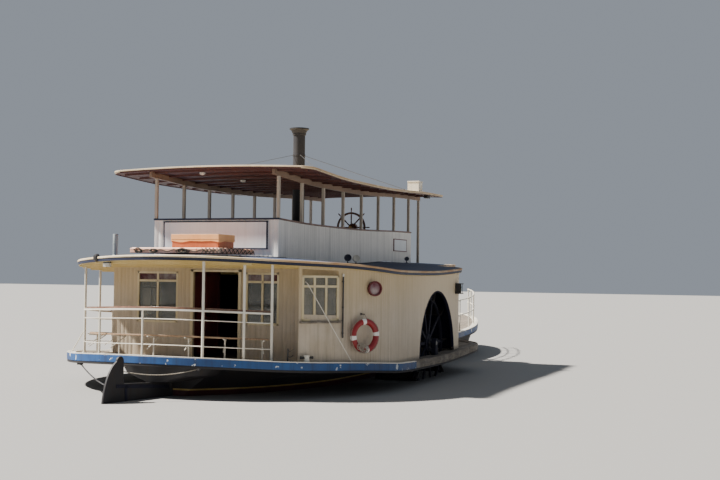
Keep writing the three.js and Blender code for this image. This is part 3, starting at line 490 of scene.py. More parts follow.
def wallPaintedLight(tree, colour):
    # painted light on the side walls: a painted yellow bounce light high up under the roof, and a painted sunlit
    # tone, lighter and warmer, towards the bow
    # painted bounce light: yellower high up under the roof
    colour = mixed(tree, spread(tree, axis(tree, "Z"), 2.2, 3.4, 0, .62), colour, rgb(.52, .38, .17))
    # painted sunlight: lighter and warmer towards the bow
    forward = spread(tree, axis(tree, "X"), aftEdge + 4.5, aftEdge + 7.5, 0, .45)
    return mixed(tree, forward, colour, rgb(.78, .66, .49))


rimTan = ((.62, .5, .31), (.7, .6, .43), (.3, .17, .08), (.22, .13, .07), .35, .16, .5)
pine = (.3, .25, .2)
finishes = {  # slot, maker; paint: fresh, faded, grime, under the chips, streaks, chips, roughness
    "hull": ("hull_paint", paint, (.009, .008, .011), (.018, .016, .018), (.03, .02, .012), (.06, .035, .02),
             .5, .12, .6),
    "blue": ("guard_paint", paint, (.006, .045, .16), (.012, .075, .23), (.015, .02, .045), (.6, .62, .62),
             .5, .74, .45, 5.0),
    # the side walls carry painted light in their tint: bounce light under the roof and sunlight towards the bow
    "wall": ("wall_paint", paint, (.49, .405, .3), (.56, .48, .38), (.24, .2, .14), (.33, .28, .2), .42, .06, .5,
             {"boards": .1, "tint": wallPaintedLight}),
    "cream": ("cream_trim", paint, (.58, .48, .28), (.66, .57, .38), (.2, .15, .09), pine, .25, .14),
    "white": ("white_paint", paint, (.66, .62, .53), (.72, .69, .61), (.25, .2, .14), (.2, .12, .07),
              .22, .2, .34, 14.0, {"coat": .2}),
    "parapet": ("white_paint", paint, (.78, .76, .72), (.84, .82, .78), (.3, .29, .28), pine, .3, .08, .45,
                {"boards": .115}),
    "board": ("white_paint", paint, (.7, .74, .78), (.76, .79, .81), (.35, .33, .3), pine, .2, .06),
    "ringWhite": ("white_paint", paint, (.78, .76, .72), (.82, .8, .76), (.35, .3, .25), pine, .3, .1),
    "navy": ("navy_paint", paint, (.006, .009, .032), (.012, .018, .05), (.03, .03, .03), (.12, .1, .08),
             .2, .22, .45),
    "canvas": ("navy_paint", paint, (.02, .035, .085), (.04, .062, .12), (.09, .085, .07), (.12, .11, .1),
               .2, .1, .6),
    # near black: painted shade, standing for the dark inside of the paddle box arches and of the CAD interiors in
    # this slot
    "dark": ("inner_dark", paint, (.003, .003, .022), (.006, .005, .03), (.006, .005, .012), pine, .3, .05, .8),
    "tan": ("roof_edge", paint, *rimTan),
    "edge": ("roof_edge", paint, *rimTan, {"tint": edgeTint}),
    # yellow-cream paint, made deeper yellow with painted bounce light from the water under the roof
    "ceiling": ("roof_edge", paint, (.52, .38, .13), (.58, .45, .2), (.22, .14, .05), pine, .2, .04),
    "line": ("hull_paint", paint, (.42, .29, .08), (.5, .38, .16), (.15, .1, .05), pine, .4, .3),
    "bootTop": ("hull_paint", paint, (.06, .016, .02), (.09, .025, .025), (.03, .02, .015), pine, .4, .1),
    "post": ("cream_trim", paint, (.4, .34, .27), (.48, .42, .34), (.2, .16, .11), (.2, .13, .08), .3, .25),
    "beam": ("cream_trim", paint, (.2, .125, .08), (.27, .18, .12), (.12, .07, .05), pine, .3, .15),
    "black": ("black_paint", paint, (.014, .014, .017), (.03, .03, .034), (.06, .045, .03), (.1, .05, .03),
              .35, .12, .4),
    "funnel": ("black_paint", paint, (.007, .007, .011), (.017, .016, .02), (.03, .024, .02), (.06, .035, .025),
               .6, .1, .6),
    "red": ("ring_paint", paint, (.22, .004, .01), (.28, .01, .014), (.2, .05, .03), (.6, .5, .45), .3, .14, .38),
    "orange": ("raft_orange", paint, (.78, .36, .12), (.82, .45, .2), (.4, .2, .1), pine, .25, .1),
    "redOrange": ("raft_orange", paint, (.4, .1, .03), (.48, .14, .05), (.2, .06, .03), pine, .35, .14),
    "pink": ("raft_orange", paint, (.75, .4, .26), (.8, .48, .35), (.4, .22, .14), pine, .3, .12),
    "galvanised": ("galvanised", paint, (.28, .32, .34), (.36, .4, .41), (.14, .13, .11), pine, .4, .06, .45,
                   {"metallic": .5}),
    "steel": ("dark_steel", paint, (.1, .1, .105), (.15, .145, .14), (.1, .05, .03), (.18, .08, .04), .4, .3, .4,
              {"metallic": .6}),
    # near-black navy iron: on the paddle wheels and shaft bearings it is painted shade, standing for the dark inside
    # of the paddle boxes; the rudder straps share it
    "wheelIron": ("dark_steel", paint, (.003, .003, .014), (.006, .006, .02), (.012, .009, .012),
                  (.03, .018, .015), .4, .1, .75),
    "brass": ("dark_steel", paint, (.5, .33, .12), (.56, .4, .18), (.2, .12, .05), pine, .3, .04, .3,
              {"metallic": .9}),
    # timber: light, dark, wear, worn, roughness
    "deck": ("deck_timber", timber, (.24, .2, .155), (.11, .09, .07), .25, (.55, .5, .43), .7, {"width": .13}),
    "bareTimber": ("guard_paint", timber, (.2, .165, .125), (.07, .058, .048), .3),
    "brown": ("brown_timber", timber, (.2, .085, .045), (.08, .03, .018), .35, (.42, .24, .15), .36, {"coat": .3}),
    "lining": ("brown_timber", timber, (.12, .035, .025), (.05, .014, .012), .1, (.2, .1, .07), .5, {"width": .1}),
    "maroon": ("brown_timber", paint, (.11, .016, .02), (.16, .03, .03), (.03, .015, .01), pine, .3, .08),
    "seat": ("seat_timber", timber, (.36, .24, .14), (.17, .1, .055), .3, (.55, .4, .27), .5),
    # the paddle floats are near black: painted shade for the dark inside of the paddle boxes
    "paddle": ("paddle_timber", timber, (.03, .023, .024), (.012, .009, .012), .2, (.06, .05, .045), .7,
               (14, 1, 14)),
    "rope": ("white_paint", timber, (.42, .38, .32), (.2, .17, .13), .2, (.55, .5, .43), .9, (30, 30, 30)),
    "darkRope": ("raft_orange", timber, (.1, .075, .05), (.03, .022, .016), .2, (.55, .5, .43), .9, (30, 30, 30)),
    "glass": ("cream_trim", glass, (.35, .38, .36), .85),
    "maroonGlass": ("cream_trim", glass, (.09, .012, .012), .3),
    "mirrorGlass": ("brown_timber", glass, (.16, .035, .05), .15),
    "lamp": ("white_paint", glass, (.9, .88, .8), .4, .2),
    "redGlass": ("black_paint", glass, (.6, .02, .015), .5),
    "greenGlass": ("black_paint", glass, (.01, .35, .1), .5),
}
materials = {}
for name, (slot, maker, *values) in finishes.items():
    extra = values.pop() if isinstance(values[-1], dict) else {}
    materials[name] = maker(name, *values, **extra)
print("materials made:", len(materials))


# Hull and deck

hull = {"sections": [  # station, half-breadths at deck, turn and floor, height of the floor
            (.8, 1.31, .3, .06, .2), (1.8, 1.8, 1.15, .35, .09), (3.2, 2.13, 1.85, 1.15, 0), (5, 2.3, 2.2, 1.75, 0),
            (12.5, 2.3, 2.2, 1.8, 0), (16.5, 2.13, 1.85, 1.35, 0), (19, 1.6, 1.15, .7, 0), (21, .8, .42, .16, .06),
            (21.95, .08, .06, .04, .26)],
        "turnHeight": .65, "lineLow": .775, "lineHigh": .81, "strakes": (1.0, .62, .42), "steps": 60}
counter = {"aft": .14, "fore": .8, "narrow": .6, "growth": .71, "power": .7, "turns": ((.86, 1.13), (.4, 1.0))}


def hullSection(station, rows=5):
    # half a section as (y, z) pairs from the deck down, curved through the turn of the bilge
    column = lambda k: curveThrough([(row[0], row[k]) for row in hull["sections"]], station)
    edge = Vector((column(1), deckZ(station) - deckThickness - .001))
    turn = Vector((column(2), hull["turnHeight"]))
    floor = Vector((max(.02, column(3)), max(0, column(4))))
    control = 2 * turn - (edge + floor) / 2
    points = [(1 - t)**2 * edge + 2 * t * (1 - t) * control + t**2 * floor for t in spaced(0, 1, 2 * rows)]
    return [(max(.015, p.x), max(0, p.y)) for p in points]


def makeHull():
    bm = bmesh.new()
    stations = spaced(hull["sections"][0][0], hull["sections"][-1][0], hull["steps"])
    rings = [hullSection(s) for s in stations]
    sweep(bm, [Vector((s, 0, 0)) for s in stations],
          lambda i: [(-y, z) for y, z in rings[i]] + [(y, z) for y, z in reversed(rings[i])])
    # the counter overhangs the rudder
    aft, fore, narrow, growth, power, turns = counter.values()
    stern = spaced(aft, fore, 8)
    half = lambda s: narrow + growth * ((s - aft) / (fore - aft))**power
    edges = lambda s: [(half(s) * wide, z) for wide, z in ((1, deckZ(s) - .071), *turns)]
    sweep(bm, [Vector((s, 0, 0)) for s in stern],
          lambda i: [(-y, z) for y, z in edges(stern[i])] + edges(stern[i])[::-1])
    block(bm, (.6, -.055, .02), (2.0, .055, .12))
    for height in (hull["lineLow"], hull["lineHigh"]):
        bmesh.ops.bisect_plane(bm, geom=list(bm.verts) + list(bm.edges) + list(bm.faces), dist=1e-5,
                               plane_co=(0, 0, height), plane_no=(0, 0, 1))
    faceMaterial(bm, 1, lambda c, f: c.z < hull["lineLow"])
    faceMaterial(bm, 2, lambda c, f: hull["lineLow"] < c.z < hull["lineHigh"] and c.x > .7)
    finish("hull_shell", bm, "hull bootTop line", "hull", crease=50)


def hullBreadth(station, height):
    # the shell's half-breadth at a height
    ring = hullSection(station, 10)
    for (y0, z0), (y1, z1) in zip(ring, ring[1:]):
        if z1 <= height <= z0:
            return y0 + (y1 - y0) * (z0 - height) / max(1e-6, z0 - z1)
    return ring[-1][0]


def makeStrakes():
    # laps of the plating, with a stem bar and a sternpost
    bm = bmesh.new()
    for side, _ in sides:
        for height in hull["strakes"]:
            sweep(bm, [Vector((s, side * hullBreadth(s, height), height)) for s in spaced(2.2, 20.4, 40)],
                  oblong(-.008, .008, -.02, .02))
    stem = [(21.95, deckZ(21.95) - .09), (22.0, 1.2), (21.98, .8), (21.93, .45), (21.8, .24)]
    tube(bm, [Vector((s, 0, z)) for s, z in stem], .045)
    block(bm, (.78, -.05, .12), (.86, .05, 1.1))
    finish("hull_strakes", bm, "hull", bevel=.004)


deckEdge = {"fairStart": 10.3, "fairEnd": 12.6, "foreHalf": 2.58,
            "foredeck": [(12.6, 2.58), (16.5, 2.3), (19, 1.72), (21, .92), (22.2, 0)],
            "guard": .06, "top": deck + .01, "bottom": deck - .15, "bareFrom": 5.1, "bareTo": 13.2}


def deckHalf(station):
    if station <= deckEdge["fairStart"]:
        return sternRadius
    if station < deckEdge["fairEnd"]:
        share = (station - deckEdge["fairStart"]) / (deckEdge["fairEnd"] - deckEdge["fairStart"])
        return deckEdge["foreHalf"] + (sternRadius - deckEdge["foreHalf"]) * (1 + cos(pi * share)) / 2
    return max(0, curveThrough(deckEdge["foredeck"], station))


def deckPath(start=-90.0, stop=bow):
    # the deck's edge from a stern angle on the port side round to starboard and forward to a station
    return (sternArc(sternRadius, start, 90, max(4, int((90 - start) / 3)))
            + [Vector((s, -deckHalf(s), 0)) for s in spaced(sternRadius, stop, int((stop - sternRadius) / .3))[1:]])


def makeGuard():
    top, bottom = deckEdge["top"], deckEdge["bottom"]
    starboard = deckPath(0)
    path = [Vector((p.x, -p.y, 0)) for p in reversed(starboard[1:])] + starboard
    bare = lambda c: deckEdge["bareFrom"] < c.x < deckEdge["bareTo"]
    bm = bmesh.new()
    sweep(bm, path, oblong(0, deckEdge["guard"], bottom, top), closed=True)
    lift(bm)
    faceMaterial(bm, 1, lambda c, f: bare(c))
    finish("guard_band", bm, "blue bareTimber", "deck_guard", bevel=.012)
    bm = bmesh.new()
    sweep(bm, path, oblong(.004, .075, top, top + .022), closed=True)
    sweep(bm, path, oblong(.058, .2, deck + .001, deck + .018), closed=True)
    lift(bm)
    faceMaterial(bm, 1, lambda c, f: c.z - sheer(c.x) < top)
    faceMaterial(bm, 2, lambda c, f: c.z - sheer(c.x) >= top and bare(c))
    finish("guard_nosing", bm, "white deck bareTimber", bevel=.005)
    bm = bmesh.new()
    sweep(bm, path, oblong(.01, .12, bottom - .05, bottom), closed=True)
    lift(bm)
    finish("guard_shelf", bm, "hull", bevel=.008)


deckBeams = {"stations": spaced(.35, 3.71, 8), "inset": .18, "inner": .4}


def makeDeckBeams():
    # beams that carry the deck where it overhangs the hull
    bm = bmesh.new()
    for s in deckBeams["stations"]:
        half = sqrt(max(.01, (sternRadius - deckBeams["inset"])**2 - (sternRadius - s)**2))
        for side, _ in sides:
            low, high = sorted((side * half, side * deckBeams["inner"]))
            block(bm, (s - .035, low, deck - .17), (s + .035, high, deck - .075))
    lift(bm)
    finish("stern_deck_beams", bm, "hull", bevel=.006)


# Rudder

rudder = {"station": .7, "angle": 10.4, "thickness": .05, "stock": .035}


def rudderPoint(along, height, across=0.0):
    # along is measured forward of the stock, in the plane of the blade
    turn = radians(-rudder["angle"])
    return Vector((rudder["station"] + along * cos(turn) - across * sin(turn),
                   along * sin(turn) + across * cos(turn), height))


def rudderOutline():
    curve = lambda t, *knots: [(1 - t)**2 * a + 2 * t * (1 - t) * b + t**2 * c for a, b, c in zip(*knots)]
    crown = [(-1.5 + .1 * cos(turn), 1.48 + .1 * sin(turn)) for turn in spaced(0, pi, 8)]
    back = [curve(t, (-1.6, 1.48), (-1.9, 1.3), (-1.99, .65)) for t in spaced(0, 1, 12)[1:]]
    neck = [curve(t, (-1.38, 1.02), (-1.39, 1.06), (-1.4, 1.3)) for t in spaced(0, 1, 4)]
    return [(.02, .15), (.02, .95)] + neck + crown + back + [(-2.02, .15)]


def makeRudder():
    half, s = rudder["thickness"] / 2, rudder["station"]
    across = lambda distance: rudderPoint(0, 0, distance) - rudderPoint(0, 0)
    bm = bmesh.new()
    plate(bm, [rudderPoint(x, z, -half) for x, z in rudderOutline()], across(2 * half))
    rod(bm, (s, 0, .06), (s, 0, 1.11), rudder["stock"], 20)
    finish("rudder_blade_plate", bm, "hull", "rudder", body="rudder_blade", bevel=.008)
    bm = bmesh.new()
    for side, _ in sides:
        face = half + .006
        for start, end in (((-.02, .42), (-1.9, .52)), ((-.02, .86), (-1.62, .98)), ((-1.3, .2), (-1.34, .98))):
            bar(bm, rudderPoint(*start, side * face), rudderPoint(*end, side * face), .014, .07)
        for along in (-.2, -.55, -.9, -1.25, -1.55):
            for low, rise in ((.42, .053), (.86, .075)):
                centre = rudderPoint(along, low - along * rise, side * (face + .008))
                rod(bm, centre, centre + across(side * .012), .016, 8, .009)
    for height in (.2, .62, 1.0):
        lathe(bm, both([(.036, -.05), (.052, -.045)]), (s, 0, height), sides=16)
    finish("rudder_straps", bm, "wheelIron", body="rudder_blade", bevel=.003)


# Foredeck: rail, bitts, hatch and stair

bowRail = {"posts": (13.3, 14.8, 16.3, 17.8, 19.2, 20.4, 20.95), "inset": .16, "heights": (.5, .98),
           "tube": .022, "post": .024, "flange": .055}


def makeBowRail():
    for side, name in sides:
        bm = bmesh.new()
        edge = lambda s: side * (deckHalf(s) - bowRail["inset"])
        line = [Vector((s, edge(s), 0)) for s in spaced(bowRail["posts"][0], bowRail["posts"][-1], 40)]
        for height in bowRail["heights"]:
            sweep(bm, line, roundSection(bowRail["tube"], deck + height + .02))
        for s in bowRail["posts"]:
            foot = Vector((s, edge(s), deck + .002))
            post(bm, foot, bowRail["heights"][1], bowRail["post"], 14)
            post(bm, foot, .018, bowRail["flange"], 16, .045)
            for height in bowRail["heights"]:
                lathe(bm, both([(bowRail["post"], -.03), (.033, -.026)]), foot + up(height + .018), sides=14)
        lift(bm)
        finish("bow_rail_tubes_" + name, bm, "white", "bow_rail_" + name)


bitts = {"station": 20.3, "apart": .26, "half": .065, "height": .48, "plinth": .085, "plinthHeight": .05,
         "barHeight": .33, "barHalf": .43}


def makeBitts():
    bm = bmesh.new()
    s, base = bitts["station"], deckZ(bitts["station"])
    for side, _ in sides:
        y = side * bitts["apart"]
        for half, height in ((bitts["half"], bitts["height"]), (bitts["plinth"], bitts["plinthHeight"])):
            block(bm, (s - half, y - half, base), (s + half, y + half, base + height))
    barZ = base + bitts["barHeight"]
    rod(bm, (s, -bitts["barHalf"], barZ), (s, bitts["barHalf"], barZ), .045, 20)
    finish("bow_bitts_posts", bm, "black", "bow_bitts", bevel=.012)


foredeckHatch = {"low": 16.75, "high": 17.85, "half": .42, "base": deckZ(17.3) - .03, "height": .24}


def makeForedeckHatch():
    bm = bmesh.new()
    low, high, half, base, height = foredeckHatch.values()
    block(bm, (low, -half, base), (high, half, base + height))
    block(bm, (low - .04, -half - .04, base + height), (high + .04, half + .04, base + height + .04))
    for y in (-.2, .2):
        block(bm, (low + .1, y - .03, base + height + .04), (high - .1, y + .03, base + height + .06))
    finish("foredeck_hatch", bm, "brown", bevel=.008)


stair = {"foot": 15.25, "head": 13.86, "left": -1.56, "right": -.84, "treads": 9, "stringer": .045}


def makeStair():
    bm = bmesh.new()
    foot, head, left, right, treads, stringer = stair.values()
    low, high = deckZ(foot) + .008, roofPlan["rimTop"] + sheer(head)
    outline = [(foot, low), (head, high - .16), (head, high), (head + .09, high), (foot + .11, low)]
    for y in (left, right - stringer):
        plate(bm, [(s, y, z) for s, z in outline], (0, stringer, 0))
    for share in spaced(0, 1, treads + 1)[1:-1]:
        s, z = foot + share * (head - foot), low + share * (high - low)
        block(bm, (s - .04, left + .03, z - .035), (s + .18, right - .03, z))
        block(bm, (s + .155, left + .045, z), (s + .175, right - .045, z + .006))
    finish("boarding_stair_steps", bm, "seat", "boarding_stair", bevel=.006)


# Walls of upright boards

boards = {"width": .1, "groove": .008, "depth": .002}
wall = {"thickness": .06, "foot": deck + .001, "head": ceiling - .001, "ovalStart": 9.25, "ovalEnd": 10.35,
        "cabinHalf": 2.4, "quarterStart": 44.8, "windowStart": 45.8, "windowEnd": 59.0, "windowSill": 2.3,
        "windowHead": 3.28, "portAft": 4.66}
cabinWalls = {"fore": (10.385, 12.569), "port": (2.261, 5.929)}  # aft and fore ends
arch = {"station": 7.47, "half": 1.4, "rise": 1.64}


def boardPath(points, width=boards["width"]):
    # the path again, with three close points at each seam; returns it with a list that marks the grooves
    lengths = [0.0]
    for a, b in zip(points, points[1:]):
        lengths.append(lengths[-1] + (b - a).length)
    gap, count = boards["groove"] / 2, max(1, round(lengths[-1] / width))
    stops = [(0.0, False)]
    for middle in spaced(0, lengths[-1], count)[1:-1]:
        stops += [(middle - gap, False), (middle, True), (middle + gap, False)]
    stops.append((lengths[-1], False))
    path, j = [], 0
    for length, _ in stops:
        while j < len(points) - 2 and lengths[j + 1] < length:
            j += 1
        share = (length - lengths[j]) / max(1e-9, lengths[j + 1] - lengths[j])
        path.append(points[j].lerp(points[j + 1], share))
    return path, [groove for _, groove in stops]


def boardSweep(bm, path, grooves, thickness, foot, head):
    # foot and head are heights or functions of a point
    level = lambda height, point: height(point) if callable(height) else height

    def section(i):
        half, top = thickness / 2 - (boards["depth"] if grooves[i] else 0), level(head, path[i])
        return oblong(-half, half, min(level(foot, path[i]), top - .002), top)
    sweep(bm, path, section)


def boardWall(bm, points, openings=(), thickness=wall["thickness"], foot=wall["foot"], head=wall["head"],
              width=boards["width"]):
    # openings are (from, to, sill, head) with distances along the path
    length = sum((b - a).length for a, b in zip(points, points[1:]))
    cuts = sorted({0.0, length} | {max(0, min(length, d)) for o in openings for d in o[:2]})
    for start, end in zip(cuts, cuts[1:]):
        if end - start < 1e-4:
            continue
        bands = [(foot, head)]
        for low, high, sill, top in openings:
            if low < (start + end) / 2 < high:
                bands = [(foot, sill), (top, head)] if sill is not None else [(top, head)]
        for low, high in bands:
            boardSweep(bm, *boardPath(part(points, start, end), width), thickness, low, high)


def part(points, start, end):
    # the stretch of a path between two distances along it
    kept, distance = [], 0.0
    for a, b in zip(points, points[1:]):
        length = (b - a).length
        low, high = max(start, distance), min(end, distance + length)
        if high - low > 1e-6:
            first, second = a.lerp(b, (low - distance) / length), a.lerp(b, (high - distance) / length)
            kept += [second] if kept else [first, second]
        distance += length
    return kept


def archFoot(point):
    # foot of the box wall, drawn level: the arch where there is one, or else the deck
    share = (point.x - arch["station"]) / arch["half"]
    if abs(share) >= 1:
        return wall["foot"]
    return max(wall["foot"], deck + arch["rise"] * sqrt(1 - share**2) - sheer(point.x))


def boxPath(side):
    # the paddle box wall from the straight side to where it meets the forward cabin
    cabin, low, high = wall["cabinHalf"], wall["ovalStart"], wall["ovalEnd"]
    stations = [4.152, 4.9] + [arch["station"] - arch["half"] * cos(turn) for turn in spaced(0, pi, 60)] + [9.05, low]
    return ([Vector((s, side * wallRadius, 0)) for s in stations]
            + [Vector((low + (high - low) * sin(turn), side * (cabin + (wallRadius - cabin) * cos(turn)), 0))
               for turn in spaced(0, pi / 2, 12)[1:]])


def makeQuarterWall():
    reach = lambda angle: wallRadius * radians(angle - wall["quarterStart"])
    bm = bmesh.new()
    boardWall(bm, sternArc(wallRadius, wall["quarterStart"], 90, 30),
              [(reach(wall["windowStart"]), reach(wall["windowEnd"]), wall["windowSill"] - .02,
                wall["windowHead"] - .03)])
    lift(bm)
    finish("quarter_wall_boards", bm, "wall", "quarter_wall")


def makeBoxWalls():
    for side, name in sides:
        bm = bmesh.new()
        points = boxPath(side)
        if side > 0:
            aft = wall["portAft"]
            points = [Vector((aft, wallRadius, 0))] + [p for p in points if p.x > aft]
            boardWall(bm, straight((aft, wall["cabinHalf"] + .03), (aft, wallRadius - .03), .3))
        boardWallFine(bm, points)
        lift(bm)
        # the board edges round the arch opening take the near-black finish, a painted shade in the opening
        faceMaterial(bm, 1, lambda c, f: abs(f.normal.y) < .3 and abs(c.x - arch["station"]) < arch["half"] + .01
                     and c.z < ceiling - .2 and abs(c.y) > wallRadius - .04)
        finish("paddle_box_boards_" + name, bm, "wall dark", "paddle_box_wall_" + name)


def boardWallFine(bm, points):
    # a board wall whose foot follows the arch: the path keeps its own points between the seams
    marks = list(zip(*boardPath(points)))
    straightSide = lambda p: abs(p.y) > wallRadius - .01
    extra = [(p, False) for p in points if abs(p.x - arch["station"]) <= arch["half"] + 1e-6 and straightSide(p)
             and all((p - q).length > boards["groove"] for q, _ in marks)]
    marks = sorted(marks + extra, key=lambda mark: mark[0].x + (0 if straightSide(mark[0]) else 10))
    boardSweep(bm, *zip(*marks), wall["thickness"], archFoot, wall["head"])


def makeArchLips():
    for side, name in sides:
        bm = bmesh.new()
        rim = [(arch["station"] + (arch["half"] + .012) * cos(turn), deck + (arch["rise"] + .012) * sin(turn))
               for turn in spaced(0, pi, 40)]
        tube(bm, [Vector((s, side * (wallRadius + wall["thickness"] / 2), max(z, deckZ(s) + .02))) for s, z in rim],
             .016, smooth=False)
        # near black: painted shade along the edge of the arch opening
        finish("arch_lip_" + name, bm, "dark")


bulkheads = {  # station, port and starboard ends, windows (port, starboard, sill, head), door (port, starboard, head)
    "aft": (2.23, 2.425, -3.28, ((1.78, .69, 2.15, 3.33), (-1.05, -1.88, 2.15, 3.33)), (.28, -.87, 3.33)),
    "fore": (12.6, 2.43, -2.43, ((1.95, .85, 2.35, 3.25), (-.85, -1.95, 2.35, 3.25)), (.46, -.46, 3.25))}
foreCabinWindows = ((10.75, 11.4, 2.35, 3.15), (11.7, 12.3, 2.35, 3.15))
portCabinWindow = (3.3, 4.3, 2.2, 3.15)


def makeBulkheads():
    for name, (station, port, starboard, windows, door) in bulkheads.items():
        bm = bmesh.new()
        rise = sheer(station)
        openings = [(port - left, port - right, sill - rise, head - rise) for left, right, sill, head in windows]
        openings.append((port - door[0], port - door[1], None, door[2] - rise))
        boardWall(bm, straight((station, port), (station, starboard), .4), openings)
        lift(bm)
        finish(name + "_bulkhead_boards", bm, "wall", name + "_bulkhead")


def cabinWall(name, replaced, side, ends, windows, thickness):
    bm = bmesh.new()
    start, end = ends
    openings = [(low - start, high - start, sill - sheer((low + high) / 2), head - sheer((low + high) / 2))
                for low, high, sill, head in windows]
    boardWall(bm, straight((start, side * wall["cabinHalf"]), (end, side * wall["cabinHalf"]), .3), openings,
              thickness)
    lift(bm)
    finish(name, bm, "wall", replaced)


def makeCabinSides():
    for side, name in sides:
        cabinWall("fore_cabin_boards_" + name, "fore_cabin_wall_" + name, side, cabinWalls["fore"], foreCabinWindows,
                  wall["thickness"])
    cabinWall("port_cabin_boards", "port_cabin_wall", 1, cabinWalls["port"], [portCabinWindow], .05)


# Windows and doors

windowBars = {"rim": .05, "half": .035, "glass": .004, "transom": .24, "quarterTransom": .26}


def windowAt(bm, panes, centre, turn, width, low, high, lights, transom=None):
    # joinery goes into bm and glass into panes; turn is the angle of the window's own x axis
    rim, half, step = windowBars["rim"], width / 2, (width - windowBars["rim"]) / lights
    bars = [(-half, rim - half, low, high, 1), (half - rim, half, low, high, 1), (-half, half, low, low + rim, 1),
            (-half, half, high - rim, high, 1)]
    bars += [(k * step - half, k * step - half + rim, low, high, .8) for k in range(1, lights)]
    if transom:
        bars.append((-half, half, high - transom, high - transom + rim, .8))
    for left, right, foot, head, share in bars:
        depth = windowBars["half"] * share
        place(bm, block(bm, (left, -depth, foot), (right, depth, head)), centre, turn)
    split = high - transom + rim / 2 if transom else high - rim / 2
    for foot, head in ((low + rim / 2, split - .001), (split, high - rim / 2)):
        if head > foot:
            place(panes, block(panes, (rim / 2 - half, -windowBars["glass"], foot),
                               (half - rim / 2, windowBars["glass"], head)), centre, turn)


def finishWindow(name, bm, panes, replaced="", looks="cream", glazing="glass maroonGlass"):
    finish(name + "_joinery", bm, looks, replaced, bevel=.006, merge=False)
    finish(name + "_glass", panes, glazing, merge=False)


def makeWindows():
    bm, panes = bmesh.new(), bmesh.new()
    first, second = (onStern(wall[key], wallRadius) for key in ("windowStart", "windowEnd"))
    middle = (first + second) / 2
    middle += (middle - Vector((sternRadius, 0, 0))).normalized() * .012
    turn, sillZ = atan2(second.y - first.y, second.x - first.x), wall["windowSill"]
    windowAt(bm, panes, middle, turn, (second - first).length + .02, sillZ + .0005, wall["windowHead"] - .0005, 3,
             windowBars["quarterTransom"])
    # the weathered sill outside
    place(bm, block(bm, (-.5, -.11, sillZ - .045), (.5, .03, sillZ)), middle, turn)
    faceMaterial(bm, 1, lambda c, f: c.z < sillZ + .0001)
    finishWindow("quarter_window", bm, panes, "quarter_window", "cream bareTimber", "glass")
    station, _, _, windows, _ = bulkheads["aft"]
    transom = windowBars["transom"]
    for name, (port, starboard, sill, head) in zip(("port", "starboard"), windows):
        bm, panes = bmesh.new(), bmesh.new()
        windowAt(bm, panes, (station, (port + starboard) / 2), -pi / 2, port - starboard - .001, sill, head, 2,
                 transom)
        faceMaterial(panes, 1, lambda c, f: c.z > head - transom)
        finishWindow("aft_window_" + name, bm, panes, "aft_window_" + name)
    bm, panes = bmesh.new(), bmesh.new()
    station, _, _, windows, _ = bulkheads["fore"]
    for port, starboard, sill, head in windows:
        windowAt(bm, panes, (station, (port + starboard) / 2), pi / 2, port - starboard, sill, head, 2)
    for low, high, sill, head in foreCabinWindows:
        for side, _ in sides:
            windowAt(bm, panes, ((low + high) / 2, side * wall["cabinHalf"]), 0, high - low, sill, head, 2)
    low, high, sill, head = portCabinWindow
    windowAt(bm, panes, ((low + high) / 2, wall["cabinHalf"]), 0, high - low, sill, head, 2, transom)
    finishWindow("cabin_windows", bm, panes)


doors = {"half": .02, "panel": .008, "margin": .11}


def doorLeaf(name, hinge, turn, width, low, high, levers):
    # a framed door with four panels, a lever and hinges
    bm = bmesh.new()
    half, panel, margin = doors.values()
    block(bm, (0, -panel, low), (width, panel, high))
    for x0, x1 in ((0, margin), (width - margin, width), ((width - margin) / 2, (width + margin) / 2)):
        block(bm, (x0, -half, low), (x1, half, high))
    for z0, z1 in ((low, low + .2), (low + .86, low + 1.0), (high - .13, high)):
        block(bm, (0, -half, z0), (width, half, z1))
    place(bm, bm.verts, hinge, turn)
    finish(name + "_leaf", bm, "maroon", name, body=name + "_leaf", bevel=.004, merge=False)
    bm = bmesh.new()
    edge, height = width - .05, low + 1.02
    for side in levers:
        face = side * half
        rod(bm, (edge, face, height), (edge, face + side * .035, height), .011)
        rod(bm, (edge, face + side * .032, height), (edge - .12, face + side * .032, height), .009)
        near, far = sorted((face, face + side * .004))
        block(bm, (edge - .025, near, low + .93), (edge + .025, far, low + 1.11))
    for height in (low + .25, high - .25):
        rod(bm, (0, 0, height - .05), (0, 0, height + .05), .013)
    place(bm, bm.verts, hinge, turn)
    finish(name + "_furniture", bm, "brass", body=name + "_leaf", bevel=.001, merge=False)


def makeDoors():
    aft, fore = bulkheads["aft"][0], bulkheads["fore"][0]
    doorLeaf("aft_door", (aft + .058, .32), 0, 1.23, deckZ(aft) + .025, 3.345, (1,))
    doorLeaf("fore_door", (fore, .445), -pi / 2, .89, deckZ(fore) + .05, 3.235, (-1, 1))
    # posts and heads of the doorways
    bm = bmesh.new()
    for name, depth in (("aft", .05), ("fore", .04)):
        station, _, _, _, (port, starboard, head) = bulkheads[name]
        for y, way in ((port, 1), (starboard, -1)):
            low, high = sorted((y + way * .001, y + way * .075))
            block(bm, (station - depth, low, deckZ(station) + .002), (station - .031, high, head + .05))
        block(bm, (station - depth, starboard - .075, head), (station - .031, port + .075, head + .05))
    finish("doorway_trims", bm, "cream", bevel=.004, merge=False)


# Promenade roof

roof = {"panelInset": .05, "nose": .048, "band": .06, "beamFirst": .75, "beamPitch": .62, "beamCount": 21,
        "beamHalf": .025, "beamDepth": .07, "lanes": 16}


